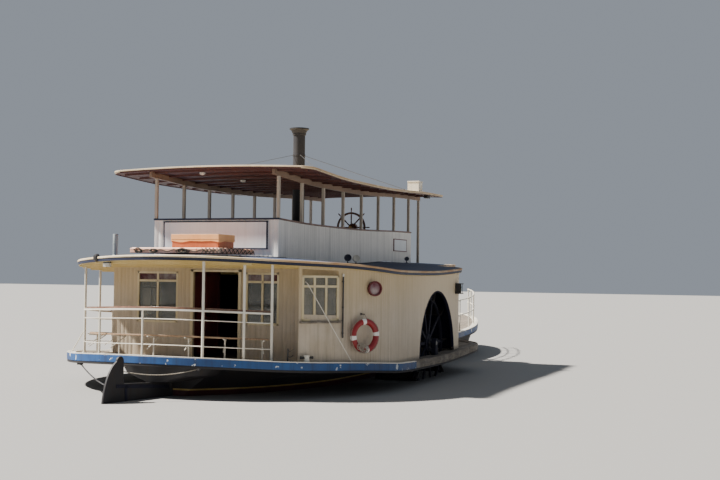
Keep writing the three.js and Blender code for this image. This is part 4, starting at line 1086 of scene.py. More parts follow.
def roofEdge(inset=0.0):
    # half the plan of the roof as (station, half-width) pairs from the stern to the bow end
    radius, start, corner = roofRadius - inset, roofPlan["straightEnd"], roofPlan["corner"]
    fore, foreHalf = roofPlan["fore"] - inset - corner, roofPlan["foreHalf"] - inset
    points = [(sternRadius - radius * cos(radians(a)), radius * sin(radians(a))) for a in range(0, 90, 3)]
    points += [(sternRadius + i * .365, radius) for i in range(14)]
    oval = [start + (roofPlan["narrow"] - start) * sin(radians(a)) for a in range(0, 85, 7)]
    points += [(s, roofHalf(s) - inset) for s in oval] + [(10.7 + i * .6, foreHalf) for i in range(4)]
    return points + [(fore + corner * sin(radians(a)), foreHalf - corner + corner * cos(radians(a)))
                     for a in range(0, 91, 10)]


def roofPath():
    # all round the roof's edge, from the fore end along the port side and back
    half = roofEdge()
    starboard = [Vector((s, -y, 0)) for s, y in half[1:]] + [Vector((roofPlan["fore"], 0, 0))]
    return [Vector((p.x, -p.y, 0)) for p in reversed(starboard)] + [Vector((half[0][0], 0, 0))] + starboard


def slab(bm, edge, top, under):
    # a slab over half a plan, with a top and an underside that are functions of (station, half, y)
    def section(i):
        s, half = edge[i]
        across = spaced(half, -half, roof["lanes"])
        return [(y, top(s, half, y)) for y in across] + [(y, under(s, half, y)) for y in reversed(across)]
    sweep(bm, [Vector((s, 0, 0)) for s, _ in edge], section)


def makeRoof():
    bm = bmesh.new()
    slab(bm, [(s, max(y, .01)) for s, y in roofEdge(roof["panelInset"])],
         lambda s, half, y: roofPlan["rimTop"] - .012 + camber * max(0, half**2 - y**2) / roofRadius**2,
         lambda s, half, y: ceiling)
    lift(bm)
    # the underside takes the ceiling finish with its painted bounce light
    faceMaterial(bm, 1, lambda c, f: c.z - sheer(c.x) < ceiling + .004)
    finish("promenade_roof_panel", bm, "canvas ceiling", "promenade_roof", crease=50)


def makeRim():
    top, nose = roofPlan["rimTop"], roofPlan["rimTop"] - roof["nose"]
    band = nose - roof["band"]
    nosing = [(0, top - roof["nose"] * .8), (.006, nose), (.075, nose), (.075, top + .004), (.012, top),
              (.002, top - .012)]
    for name, section, look, replaced, bevel in (
            ("nosing", nosing, "edge", "roof_rim", .004), ("band", oblong(.014, .05, band, nose), "navy", "", 0),
            ("fascia", oblong(.028, .06, roofPlan["rimBottom"], band), "ceiling", "", .004)):
        bm = bmesh.new()
        sweep(bm, roofPath(), section, closed=True)
        lift(bm)
        finish("roof_rim_" + name, bm, look, replaced, bevel=bevel)


def makeRoofBeams():
    bm = bmesh.new()
    for i in range(roof["beamCount"]):
        s = roof["beamFirst"] + i * roof["beamPitch"]
        half = roofHalf(s) - .07
        block(bm, (s - roof["beamHalf"], -half, ceiling - roof["beamDepth"]),
              (s + roof["beamHalf"], half, ceiling + .002))
    lift(bm)
    finish("promenade_roof_beams", bm, "ceiling", bevel=.005)


# Stern porch

porch = {"posts": (-80, -55, 14.2, 27.5, 36.5), "stanchions": (-90, -31, -7.8), "post": .03, "stanchion": .022,
         "braced": -55, "wires": (.27, .82), "top": 1.0, "from": -90.0, "to": 36.5}
handrail = {"radius": 3.668, "low": 1.045, "high": 1.085, "half": .045}


def makePorchRail():
    bm = bmesh.new()
    path = [Vector((4.625, railRadius, 0))] + sternArc(railRadius, porch["from"], porch["to"], 60)
    top = deck + porch["top"]
    for height in porch["wires"]:
        sweep(bm, path, roundSection(.011, deck + height))
    sweep(bm, path, oblong(-.028, .028, top, top + .038))
    for angle in porch["posts"] + porch["stanchions"]:
        tall = angle in porch["posts"]
        foot = onStern(angle, railRadius, deck + .001)
        height = ceiling - deck - .002 if tall else porch["top"]
        size = porch["post" if tall else "stanchion"]
        post(bm, foot, height, size, 14)
        post(bm, foot, .014, size + .03, 18, size + .026)
        if angle == porch["braced"]:
            rod(bm, onStern(angle - 4, railRadius + .3, foot.z + .01), foot + up(.55), .013, 10)
        if tall:
            post(bm, foot + up(height - .015), .015, size + .035, 18)
            for turn in clock(4):
                post(bm, foot + Vector((.055 * cos(turn + .4), .055 * sin(turn + .4), .014)), .01, .008, 6)
    lift(bm)
    finish("stern_rail_tubes", bm, "white", "stern_rail_frame", merge=False)
    bm = bmesh.new()
    radius, low, high, half = handrail.values()
    sweep(bm, sternArc(radius, porch["from"], porch["to"], 60), oblong(-half, half, deck + low, deck + high))
    for angle in range(-88, 36, 12):
        rod(bm, onStern(angle, railRadius - .02, top + .02), onStern(angle, radius, deck + low + .01), .009, 8)
    lift(bm)
    finish("stern_handrail_board", bm, "brown", "stern_handrail", bevel=.012)


bench = {"radius": 3.48, "width": .33, "top": deck + .49, "slats": 4, "from": -86, "to": 36,
         "inner": 3.33, "outer": 3.73, "brackets": (-84, -64, -44, -24, -6, 8, 21, 34)}


def makeSternBench():
    bm = bmesh.new()
    pitch, top = bench["width"] / bench["slats"], bench["top"]
    for k in range(bench["slats"]):
        low = -bench["width"] / 2 + k * pitch
        sweep(bm, sternArc(bench["radius"], bench["from"], bench["to"], 48),
              oblong(low + .006, low + pitch - .006, top - .034, top))
    lift(bm)
    finish("stern_bench_slats", bm, "seat", "stern_bench", bevel=.006)
    bm = bmesh.new()
    under = top - .036
    for angle in bench["brackets"]:
        foot, head = (onStern(angle, bench["radius"] + .02, level) for level in (deck + .002, under))
        rod(bm, foot, head, .018)
        post(bm, foot, .012, .045, 14)
        inner, outer = bench["inner"], bench["outer"]
        bar(bm, onStern(angle, inner, under - .012), onStern(angle, outer, under - .012), .03, .024)
        rod(bm, onStern(angle, inner + .01, under - .02), onStern(angle, outer, deck + .17), .011, 8)
    lift(bm)
    finish("stern_bench_brackets", bm, "white", merge=False)


# Upper deck

parapet = {"aft": 2.68, "fore": 11.85, "half": 1.6, "thickness": .05, "top": 4.48, "cap": .04, "capHalf": .045,
           "rise": .5, "board": .115}
sign = {"half": 1.36, "low": 3.86, "high": 4.51, "outline": .03}
sidePlate = {"start": 10.3, "end": 11.4, "low": 4.0, "high": 4.36, "outline": .022}


def parapetTop(station):
    return parapet["top"] + parapet["rise"] * sheer(station)


def makeParapets():
    aft, fore, half, thickness = (parapet[key] for key in ("aft", "fore", "half", "thickness"))
    end, wide = half + thickness / 2, parapet["capHalf"]
    walls = [("parapet_aft", "parapet_aft_boards", straight((aft, end), (aft, -end), .2))]
    walls += [("parapet_side_" + name, "parapet_side_boards_" + name,
               straight((aft + thickness / 2 + .001, side * half), (fore, side * half), .25)) for side, name in sides]
    for replaced, name, path in walls:
        bm = bmesh.new()
        boardSweep(bm, *boardPath(path, parapet["board"]), thickness, lambda p: roofZ(p.x, p.y) + .004,
                   lambda p: parapetTop(p.x))
        finish(name, bm, "parapet", replaced)
    for name, look, replaced, lines in (
            ("aft", "navy", "parapet_cap", [straight((aft, half + wide), (aft, -half - wide), .4)]),
            ("sides", "brown", "", [straight((aft + wide, side * half), (fore, side * half), .25)
                                    for side, _ in sides])):
        bm = bmesh.new()
        for path in lines:
            level = lambda i: parapetTop(path[i].x) + .002
            sweep(bm, path, lambda i: oblong(-wide, wide, level(i), level(i) + parapet["cap"]))
        finish("parapet_cap_" + name, bm, look, replaced, bevel=.008)


def framedBoard(name, low, high, outline, facing, edging):
    # a blank board in a thin dark frame; facing is the axis that it looks along
    bm = bmesh.new()
    block(bm, low, high)
    finish(name, bm, "board", bevel=.004)
    bm = bmesh.new()
    across = 1 - facing
    lowest, highest = (low[0] - .006, low[1] - .006, low[2]), (high[0] + .006, high[1] + .006, high[2])
    for direction in (2, across):
        for start, end in ((low[direction], low[direction] + outline), (high[direction] - outline, high[direction])):
            a, b = list(lowest), list(highest)
            a[direction], b[direction] = start, end
            block(bm, a, b)
    finish(name + "_frame", bm, edging, bevel=.003, merge=False)


def makeSigns():
    face, side = parapet["aft"] - parapet["thickness"] / 2, -parapet["half"] - parapet["thickness"] / 2
    half, low, high, outline = sign.values()
    framedBoard("sign_board_blank", (face - .028, -half, low), (face - .001, half, high), outline, 0, "navy")
    start, end, low, high, outline = sidePlate.values()
    framedBoard("side_plate_blank", (start, side - .022, low), (end, side - .001, high), outline, 1, "maroon")


upper = {"aft": 2.25, "fore": 12.75, "half": 2.6, "eave": 5.44, "under": .085, "edge": .055, "camber": .07,
         "rise": .8, "first": 2.68, "pitch": 1.283, "posts": 8, "last": 12.58, "postHalf": .035,
         "rafterFirst": 2.55, "rafterPitch": .64, "rafters": 16}


def eave(station):
    return upper["eave"] + upper["rise"] * sheer(station)


def upperEdge():
    aft, fore, half = upper["aft"], upper["fore"], upper["half"]
    corner = [(aft + .25 * (1 - cos(radians(a))), half - .25 + .25 * sin(radians(a))) for a in range(0, 91, 15)]
    side = list(zip(spaced(aft + .25, 8.75, 16), spaced(half, half - .04, 16)))[1:]
    taper = list(zip(spaced(8.75, fore - .25, 10), spaced(half - .04, half - .22, 10)))[1:]
    nose = [(fore - .2 + .2 * sin(radians(a)), 2.38 - .25 + .25 * cos(radians(a))) for a in range(15, 91, 15)]
    return corner + side + taper + nose


def upperTop(station, y):
    return eave(station) + upper["under"] + upper["edge"] + upper["camber"] * (1 - (y / upper["half"])**2)


def makeUpperRoof():
    edge, whole, light = upperEdge(), upper["edge"], upper["edge"] / 2
    bm = bmesh.new()
    slab(bm, edge, lambda s, half, y: upperTop(s, y), lambda s, half, y: upperTop(s, y) - whole + .005)
    faceMaterial(bm, 1, lambda c, f: c.z < upperTop(c.x, c.y) - light)
    finish("upper_roof_panel", bm, "tan lining", "upper_roof", crease=50)
    outline = [Vector((s, -y, 0)) for s, y in edge]
    across = lambda s, half: [Vector((s, half * (1 - k / 6), 0)) for k in range(1, 12)]
    ring = ([Vector((p.x, -p.y, 0)) for p in reversed(outline)] + across(upper["aft"], edge[0][1])
            + outline + across(upper["fore"], -edge[-1][1]))
    ring.append(ring[0])
    level = lambda i: upperTop(ring[i].x, ring[i].y)
    bm = bmesh.new()
    sweep(bm, ring, lambda i: oblong(-.012, .022, level(i) - light, level(i) + .008), closed=True)
    sweep(bm, ring, lambda i: oblong(.002, .03, level(i) - whole - .012, level(i) - light), closed=True)
    faceMaterial(bm, 1, lambda c, f: c.z < upperTop(c.x, c.y) - light * 1.02)
    finish("upper_roof_edge", bm, "edge lining", bevel=.006)
    bm = bmesh.new()
    for i in range(upper["rafters"]):
        s = upper["rafterFirst"] + i * upper["rafterPitch"]
        half = 2.1 if s > 9 else 2.4
        path = straight((s, half), (s, -half), .3)
        under = lambda i: upperTop(s, path[i].y) - whole
        sweep(bm, path, lambda i: oblong(-.022, .022, under(i) - .035, under(i) + .008))
    finish("upper_roof_rafters", bm, "lining", bevel=.004)


def makeUpperFrame():
    half = upper["postHalf"]
    for side, name in sides:
        bm = bmesh.new()
        y = side * parapet["half"]
        beam = straight((upper["aft"] + .15, y), (upper["fore"] - .08, y), .3)
        sweep(bm, beam, lambda i: oblong(-half, half, eave(beam[i].x), upperTop(beam[i].x, y) - upper["edge"] + .004))
        faceMaterial(bm, 1, lambda c, f: True)
        for i in range(upper["posts"] + 1):
            last = i == upper["posts"]
            s = upper["last"] if last else upper["first"] + i * upper["pitch"] + (0 if i else .01)
            foot = roofZ(s, y) + .006 if last else parapetTop(s) + parapet["cap"] + .003
            block(bm, (s - half, y - half, foot), (s + half, y + half, eave(s) + .01))
        finish("upper_frame_posts_" + name, bm, "post beam", "upper_frame_" + name, bevel=.005, merge=False)


funnel = {"station": 7.25, "radius": .16, "foot": 2.7, "top": 7.23, "cap": .265, "bands": (3.75, 4.6, 5.95, 6.5),
          "stayFeet": ((-2.9, -2.0), (-2.9, 2.0), (2.9, -2.0), (2.9, 2.0))}


def makeFunnel():
    s, r, foot, top, cap, bands, stayFeet = funnel.values()
    profile = [(r - .015, foot), (r, foot)]
    for level in bands:
        profile += [(r, level - .03), (r + .007, level - .027), (r + .007, level + .027), (r, level + .03)]
    profile += [(r, top - .19), (r + .022, top - .18), (r + .022, top - .13), (r + .03, top - .12),
                (cap - .05, top - .06), (cap, top - .03), (cap, top), (cap - .02, top - .002), (r - .015, top - .06),
                (r - .015, top - .9), (.001, top - .9)]
    bm = bmesh.new()
    lathe(bm, profile, (s, 0, 0), sides=48)
    finish("funnel_casing", bm, "funnel", "funnel", crease=30)
    bm = bmesh.new()
    for level, reach in ((roofZ(s, 0) + .002, .1), (upperTop(s, 0) - .004, .085)):
        lathe(bm, [(r + .001, level), (r + reach, level), (r + reach, level + .03), (r + .02, level + .09),
                   (r + .001, level + .09)], (s, 0, 0), sides=40)
    for level in bands[1:]:
        for turn in clock(14):
            out = Vector((cos(turn), sin(turn), 0))
            start = Vector((s, 0, level)) + out * (r + .004)
            rod(bm, start, start + out * .01, .009, 6, .006)
    finish("funnel_flashings", bm, "funnel", merge=False)
    bm = bmesh.new()
    for x, y in stayFeet:
        foot = Vector((s + x, y, upperTop(s + x, y) - .002))
        tube(bm, [Vector((s, 0, bands[-1])) + Vector((x, y, 0)).normalized() * (r + .005), foot + up(.05)], .006,
             smooth=False, sides=6)
        post(bm, foot, .06, .014, 10)
        post(bm, foot, .01, .04)
    finish("funnel_stays", bm, "steel", merge=False)


helm = {"station": 11.21, "height": 4.72, "plane": 11.06, "spokes": 8}


def makeHelm():
    x, height, plane, spokes = helm.values()
    centre, forward = (plane, 0, height), (1, 0, 0)
    bm = bmesh.new()
    lathe(bm, both([(.4, -.022), (.415, -.028), (.445, -.028), (.46, -.022)]) + [(.4, -.022)], centre, forward, 56)
    lathe(bm, both([(.001, -.055), (.045, -.055), (.08, -.04)]), centre, forward)
    rod(bm, (plane + .04, 0, height), (plane + .27, 0, height), .03, 16)
    spoke = [(.012, .07), (.02, .12), (.024, .17), (.014, .2), (.022, .23), (.022, .37), (.014, .39), (.014, .41),
             (.017, .45), (.013, .48), (.02, .53), (.019, .57), (.008, .6), (.001, .6)]
    for turn in clock(spokes):
        lathe(bm, spoke, centre, (0, sin(turn), cos(turn)), 14)
    finish("helm_wheel_turned", bm, "brown", "helm_wheel", body="helm")
    bm = bmesh.new()
    lathe(bm, [(.001, -.062), (.04, -.062), (.052, -.056), (.001, -.056)], centre, forward, 24)
    finish("helm_wheel_boss", bm, "brass", body="helm")
    bm = bmesh.new()
    foot = roofZ(x - .06, 0)
    levels = [foot + .006, foot + .05, foot + .09, foot + .12, height - .16, height - .12]
    for low, high, half in zip(levels, levels[1:], (.2, .16, .11, .075, .1)):
        block(bm, (x - half * .75, -half, low), (x + half * .75, half, high))
    rod(bm, (x - .075, 0, height), (x + .075, 0, height), .13, 28)
    block(bm, (x - .07, -.1, height - .14), (x + .07, .1, height - .02))
    finish("helm_pedestal_case", bm, "brown", "helm_pedestal", bevel=.008, merge=False)


upperBench = {"aft": 3.0, "fore": 10.35, "inner": 1.13, "outer": 1.5, "seat": .47, "slats": 4, "legs": 7}


def makeUpperBenches():
    aft, fore, inner, outer, seat, slats, legs = upperBench.values()
    pitch = (outer - inner) / slats
    for side, name in sides:
        bm = bmesh.new()
        middle = side * (inner + outer) / 2
        top = lambda s: roofZ(s, middle) + seat
        for k in range(slats):
            y = side * (inner + (k + .5) * pitch)
            path = straight((aft, y), (fore, y), .4)
            sweep(bm, path, lambda i: oblong(.006 - pitch / 2, pitch / 2 - .006, top(path[i].x) - .034,
                                             top(path[i].x)))
        for s in spaced(aft + .1, fore - .1, legs - 1):
            for y in (middle - .12, middle + .12):
                block(bm, (s - .03, y - .02, roofZ(s, y) + .004), (s + .03, y + .02, top(s) - .03))
            block(bm, (s - .02, middle - .16, top(s) - .09), (s + .02, middle + .16, top(s) - .03))
        finish("upper_bench_slats_" + name, bm, "seat", "upper_bench_" + name, bevel=.005, merge=False)


roofBox = {"aft": 10.48, "fore": 10.82, "starboard": -2.32, "port": -1.98, "base": upperTop(10.82, -2.15) + .002,
           "height": .3}


def makeRoofBox():
    aft, fore, low, high, base, height = roofBox.values()
    bm = bmesh.new()
    block(bm, (aft, low, base - .02), (fore, high, base + height - .03))
    block(bm, (aft - .012, low - .012, base + height - .03), (fore + .012, high + .012, base + height))
    for z in spaced(base + .06, base + .195, 3):
        block(bm, (aft + .05, low - .008, z), (fore - .05, low + .002, z + .018))
    finish("roof_locker", bm, "white", "roof_box", bevel=.006, merge=False)


# Paddle wheels and machinery

wheel = {"station": 7.6, "height": 1.56, "radius": 1.442, "inner": 2.56, "outer": 3.66, "floats": 10,
         "rims": (2.65, 3.57), "rimLow": 1.12, "rimHigh": 1.19, "hub": .23, "shaft": .06}


def makeWheels():
    rimShape = both([(wheel["rimLow"], -.03), (wheel["rimHigh"], -.03)])
    bore = wheel["shaft"] + .0003
    hubShape = both([(bore, -.06), (.1, -.06), (.105, -.045), (wheel["hub"], -.045)])
    for side, name in sides:
        iron, floats = bmesh.new(), bmesh.new()
        low, high = sorted((side * wheel["inner"], side * wheel["outer"]))
        rims = [side * y for y in wheel["rims"]]
        for y in rims:
            for shape, count in ((rimShape, 60), (hubShape, 40)):
                lathe(iron, shape + shape[:1], (0, y, 0), (0, 1, 0), count)
        for angle in clock(wheel["floats"]):
            made, planks = rod(iron, (.66, rims[0], 0), (.66, rims[1], 0), .016, 10), []
            for y in rims:
                made += block(iron, (.15, y - .02, -.035), (1.4, y + .02, .035))
                for reach in (.17, .2, 1.14, 1.17):
                    made += rod(iron, (reach, y - .062, .018), (reach, y + .062, .018), .009, 6)
                for reach in (1.2, 1.37):
                    made += rod(iron, (reach, y - .035, -.045), (reach, y - .035, .075), .008, 6)
                    made += block(iron, (reach - .012, y - .045, -.047), (reach + .012, y + .045, -.036))
            for inner, outer in ((1.13, 1.232), (1.235, 1.337), (1.34, wheel["radius"])):
                planks += block(floats, (inner, low, .0203), (outer, high, .06))
            for bm, verts in ((iron, made), (floats, planks)):
                bmesh.ops.transform(bm, matrix=Matrix.Rotation(angle, 4, "Y"), verts=verts)
        # both wheels take near-black finishes, a painted shade for the inside of the paddle boxes
        for bm, label, look, replaced in ((iron, "paddle_wheel_iron_", "wheelIron", "paddle_wheel_" + name),
                                          (floats, "paddle_floats_", "paddle", "")):
            bmesh.ops.translate(bm, verts=bm.verts, vec=(wheel["station"], 0, wheel["height"]))
            finish(label + name, bm, look, replaced, body="paddle_wheels", bevel=.004, merge=False)


bearing = {"inner": 3.715, "outer": 3.835, "bore": .066, "head": .125}


def makeShaft():
    bm = bmesh.new()
    s, z, across = wheel["station"], wheel["height"], (0, 1, 0)
    lathe(bm, both([(.001, -3.83), (.05, -3.83), (wheel["shaft"], -3.82)]), (s, 0, z), across)
    for y in (-2.2, -.75, .75, 2.2):
        lathe(bm, both([(.061, -.04), (.1, -.04)]), (s, y, z), across, 24)
    finish("paddle_shaft_turned", bm, "steel", "paddle_shaft", body="paddle_wheels")
    for side, name in sides:
        bm = bmesh.new()
        low, high = sorted((side * bearing["inner"], side * bearing["outer"]))
        middle, foot = (low + high) / 2, deckZ(s) + .002
        # the casting stands on its foot, with a half-round head round the shaft
        head = both([(bearing["bore"], low - middle), (bearing["head"], low - middle)])
        lathe(bm, head + head[:1], (s, middle, z), across)
        bmesh.ops.remove_doubles(bm, verts=bm.verts, dist=1e-5)
        block(bm, (s - .1, low + .004, foot + .02), (s + .1, high - .004, z - .09))
        block(bm, (s - .13, low, foot), (s + .13, high, foot + .03))
        for x in (-.105, .105):
            post(bm, Vector((s + x, middle, foot + .03)), .015, .014, 6)
        post(bm, Vector((s, middle, z + .115)), .015, .03, 16)
        # near black: painted shade inside the paddle box
        finish("shaft_bearing_casting_" + name, bm, "wheelIron", "shaft_bearing_" + name, bevel=.004, merge=False)


boiler = {"aft": 5.25, "fore": 7.45, "radius": .608, "height": 2.06, "saddles": (5.6, 7.0)}
engine = {"aft": 7.95, "fore": 9.0, "height": 1.78, "cylinder": .15}


def makeBoiler():
    bm = bmesh.new()
    low, fore, r, height, saddles = boiler.values()
    profile = [(.001, .02), (r - .1, .02), (r - .03, .045), (r, .08)]
    for band in (.45, 1.1, 1.75):
        profile += [(r, band - .03), (r + .01, band - .028), (r + .01, band + .028), (r, band + .03)]
    profile += [(r, fore - low - .06), (r - .04, fore - low - .02), (.001, fore - low - .02)]
    lathe(bm, profile, (low, 0, height), (1, 0, 0), 48)
    for s in saddles:
        block(bm, (s - .09, -.45, deckZ(s) + .003), (s + .09, .45, height - .42))
    rod(bm, (low + .004, 0, height - .18), (low + .03, 0, height - .18), .2, 32)
    rod(bm, (low + .001, 0, height + .3), (low + .03, 0, height + .3), .07, 24)
    for turn in clock(16):
        y, z = .53 * cos(turn), height + .53 * sin(turn)
        rod(bm, (low + .018, y, z), (low + .038, y, z), .013, 6)
    finish("boiler_shell", bm, "black", "boiler", merge=False)


def makeEngine():
    bm = bmesh.new()
    foot, z, thick = deckZ(8.0) + .02, engine["height"], engine["cylinder"]
    for y in (-.4, .4):
        block(bm, (engine["aft"], y - .15, foot), (engine["fore"], y + .15, foot + .14))
        for start, end, radius, count in ((8.2, 8.93, thick, 32), (8.19, 8.22, thick + .025, 32),
                                          (8.92, 8.95, thick + .025, 32), (7.97, 8.2, .022, 16)):
            rod(bm, (start, y, z), (end, y, z), radius, count)
        block(bm, (7.96, y - .06, z - .06), (8.04, y + .06, z + .06))
        block(bm, (8.3, y - .1, foot + .13), (8.8, y + .1, 1.66))
        for s in (8.06, 8.88):
            post(bm, Vector((s, y - .11, foot + .14)), .025, .018, 6)
    for s in (8.3, 8.7):
        block(bm, (s, -.26, foot + .02), (s + .2, .26, foot + .12))
    finish("engine_cylinders", bm, "steel", "engine", bevel=.006, merge=False)


# Fittings on the deck, the walls and the roof

ring = {"centre": Vector((2.6646, -3.7516, 1.97)), "facing": 58.4, "major": .31, "tube": .068,
        "bands": (-7, 83, 173, 263), "peg": .47}


def outward(facing):
    return Vector((-cos(radians(facing)), -sin(radians(facing)), 0))


def onRing(turn, radius, out=0.0):
    # a point of the ring's face, with turn in degrees clockwise from the top as seen from outside
    away, angle = outward(ring["facing"]), radians(turn)
    return ring["centre"] + radius * (Vector((-away.y, away.x, 0)) * sin(angle) + up(cos(angle))) + away * out


def makeLifeRing():
    major, thick, bands, centre = ring["major"], ring["tube"], ring["bands"], ring["centre"]
    bm = bmesh.new()
    lathe(bm, [(major + thick * cos(turn), .9 * thick * sin(turn)) for turn in spaced(0, 2 * pi, 20)], centre,
          outward(ring["facing"]), 64)
    finish("life_ring_body", bm, "red", "life_ring", crease=60)
    bm = bmesh.new()
    for band in bands:
        tube(bm, [onRing(t, major) for t in spaced(band - 8, band + 8, 6)], thick + .0025, sides=22)
    finish("life_ring_bands", bm, "ringWhite", crease=60)
    bm = bmesh.new()
    for first, second in zip(bands, bands[1:] + (bands[0] + 360,)):
        tube(bm, [onRing(t, major + thick * (.98 + .12 * sin(pi * i / 10)), .02)
                  for i, t in enumerate(spaced(first, second, 10))], .007)
    for turn in (-12, 12):
        tube(bm, [onRing(turn, major + thick * .9), onRing(0, ring["peg"], -.03) + up(.004)], .006, smooth=False)
    random.seed(11)
    for k in range(9):
        middle = onRing(186 + 5 * k, major - .03 + .012 * (k % 3), thick + .01 + .004 * k) - 2 * centre
        tube(bm, [middle + onRing(degrees(turn + k), .06 + random.uniform(-.018, .03))
                  + onRing(0, 0, random.uniform(-.008, .008)) for turn in clock(7)], .007, closed=True)
    finish("life_ring_ropes", bm, "rope", crease=60, merge=False)
    bm = bmesh.new()
    for out, radius, count in ((-.01, .01, 10), (-.15, .03, 14)):
        rod(bm, onRing(0, ring["peg"], -.16), onRing(0, ring["peg"], out), radius, count)
    finish("life_ring_peg", bm, "black")


raft = {"low": ((.75, -1.17, .02), (2.35, 1.07, .14)), "high": ((1.05, -.97, .142), (1.8, .21, .44)), "split": .3,
        "base": roofZ(1.55, 0)}


def makeRafts():
    base, split = raft["base"], raft["base"] + raft["split"]
    (s0, y0, z0), (s1, y1, z1) = raft["low"]
    bm = bmesh.new()
    edges = spaced(y0, y1, 4)
    for low, high in zip(edges, edges[1:]):
        block(bm, (s0, low + .004, base + z0), (s1, high - .004, base + z1 - .012))
    block(bm, (s0 + .03, y0 + .03, base + z1 - .03), (s1 - .03, y1 - .03, base + z1))
    finish("raft_lower_pads", bm, "pink", "float_mats", bevel=.022, merge=False)
    (s0, y0, z0), (s1, y1, z1) = raft["high"]
    bm = bmesh.new()
    block(bm, (s0 + .012, y0 + .012, base + z0), (s1 - .012, y1 - .012, split))
    finish("raft_middle", bm, "redOrange", bevel=.02)
    # the cover's hem hangs in shallow waves over the raft below
    bm = bmesh.new()
    block(bm, (s0, y0, split + .008), (s1, y1, base + z1))
    near, far, low, high = s0 + .006, s1 - .006, y0 + .006, y1 - .006
    hem = [Vector((s, y, 0)) for s, y in ((near, high), (near, low), (far, low), (far, high), (near, high))]
    path = []
    for a, b in zip(hem, hem[1:]):
        count = max(2, round((b - a).length / .035))
        path += [a.lerp(b, i / count) for i in range(count)]
    wave = lambda i: .022 + .03 * (.5 - .5 * cos(i * .45)) * (1 if i % 26 < 17 else .3)
    sweep(bm, path + path[:1], lambda i: oblong(-.006, .006, split + .012 - wave(i % len(path)), split + .03),
          closed=True)
    finish("raft_upper", bm, "orange", bevel=.012, merge=False)


def makeRaftRopes():
    base = raft["base"]
    (s0, y0, _), (s1, y1, z1) = raft["low"]
    bm = bmesh.new()
    tube(bm, [Vector((s0 - .008, y, base + .075 + .02 * cos(i * pi / 2.5)))
              for i, y in enumerate(spaced(y1 - .1, y0 + .1, 30))], .009)
    random.seed(4)
    for at in (-.33, -.3, -.24, .48, .86):
        for k in range(3):
            middle = Vector((s0 - .02 - .012 * k, at + random.uniform(-.05, .05),
                             base + .07 + random.uniform(-.01, .02)))
            tube(bm, [middle + Vector((random.uniform(-.01, .01), .075 * cos(turn), .035 * sin(turn)))
                      for turn in clock(6)], .011, closed=True)
    # the netting over the starboard end
    for s in spaced(s0 + .02, s1 - .08, 8):
        for lean in (-.17, .17):
            tube(bm, [Vector((s + lean / 2, y0 - .006, base + z1 - .004)), Vector((s, y0 - .02, base + .1)),
                      Vector((s - lean / 2, y0 - .006, base + .022))], .008)
    for y in spaced(y0 + .02, y0 + .38, 4):
        for lean in (-.06, .06):
            tube(bm, [Vector((s0 - .006, y + lean, base + z1 - .01)), Vector((s0 - .016, y, base + .09)),
                      Vector((s0 - .006, y - lean, base + .022))], .008)
    finish("raft_ropes", bm, "darkRope", crease=60, merge=False)


vent = {"station": 2.05, "y": 2.3, "radius": .062, "top": 4.19}


def makeVent():
    bm = bmesh.new()
    s, y, r, top = vent.values()
    foot = roofZ(s, y) + .002
    for profile in ([(r, foot), (r, foot + .3), (r + .004, foot + .302), (r + .004, foot + .34), (r, foot + .342),
                     (r, top - .012), (r - .004, top), (r - .012, top), (r - .012, top - .25), (.001, top - .25)],
                    [(r + .001, foot), (.107, foot), (.107, foot + .012), (r + .02, foot + .02),
                     (r + .004, foot + .06)]):
        lathe(bm, profile, (s, y, 0))
    finish("vent_pipe_rolled", bm, "galvanised", "vent_pipe")


bollard = {"angle": 47, "radius": 3.985, "bar": .115, "half": .148}


def makeBollard():
    at = onStern(bollard["angle"], bollard["radius"])
    foot, half = deckZ(at.x) + .003, bollard["half"]
    bm = bmesh.new()
    profile = ((.001, 0), (.1, 0), (.1, .016), (.07, .022), (.062, .05), (.058, .12), (.066, .15), (.07, .165),
               (.001, .175))
    lathe(bm, [(r, foot + h) for r, h in profile], at)
    for turn in clock(6):
        post(bm, at + Vector((.086 * cos(turn), .086 * sin(turn), foot + .014)), .012, .009, 6)
    finish("bollard_post", bm, "white", "bollard", merge=False)
    bm = bmesh.new()
    turn = radians(bollard["angle"])
    lathe(bm, both([(.001, -half), (.026, -half), (.031, -.13), (.024, -.11)]), at + up(foot + bollard["bar"]),
          (sin(turn), -cos(turn), 0), 20)
    finish("bollard_bar", bm, "black")


wallLamp = {"angle": 74.0, "facing": 48.0, "height": 3.0, "radius": .17}
pole = {"angle": 60.5, "low": 1.93, "high": 3.26}
wallHooks = {"angle": 41.3, "levels": (1.32, 1.44, 1.56, 1.68)}


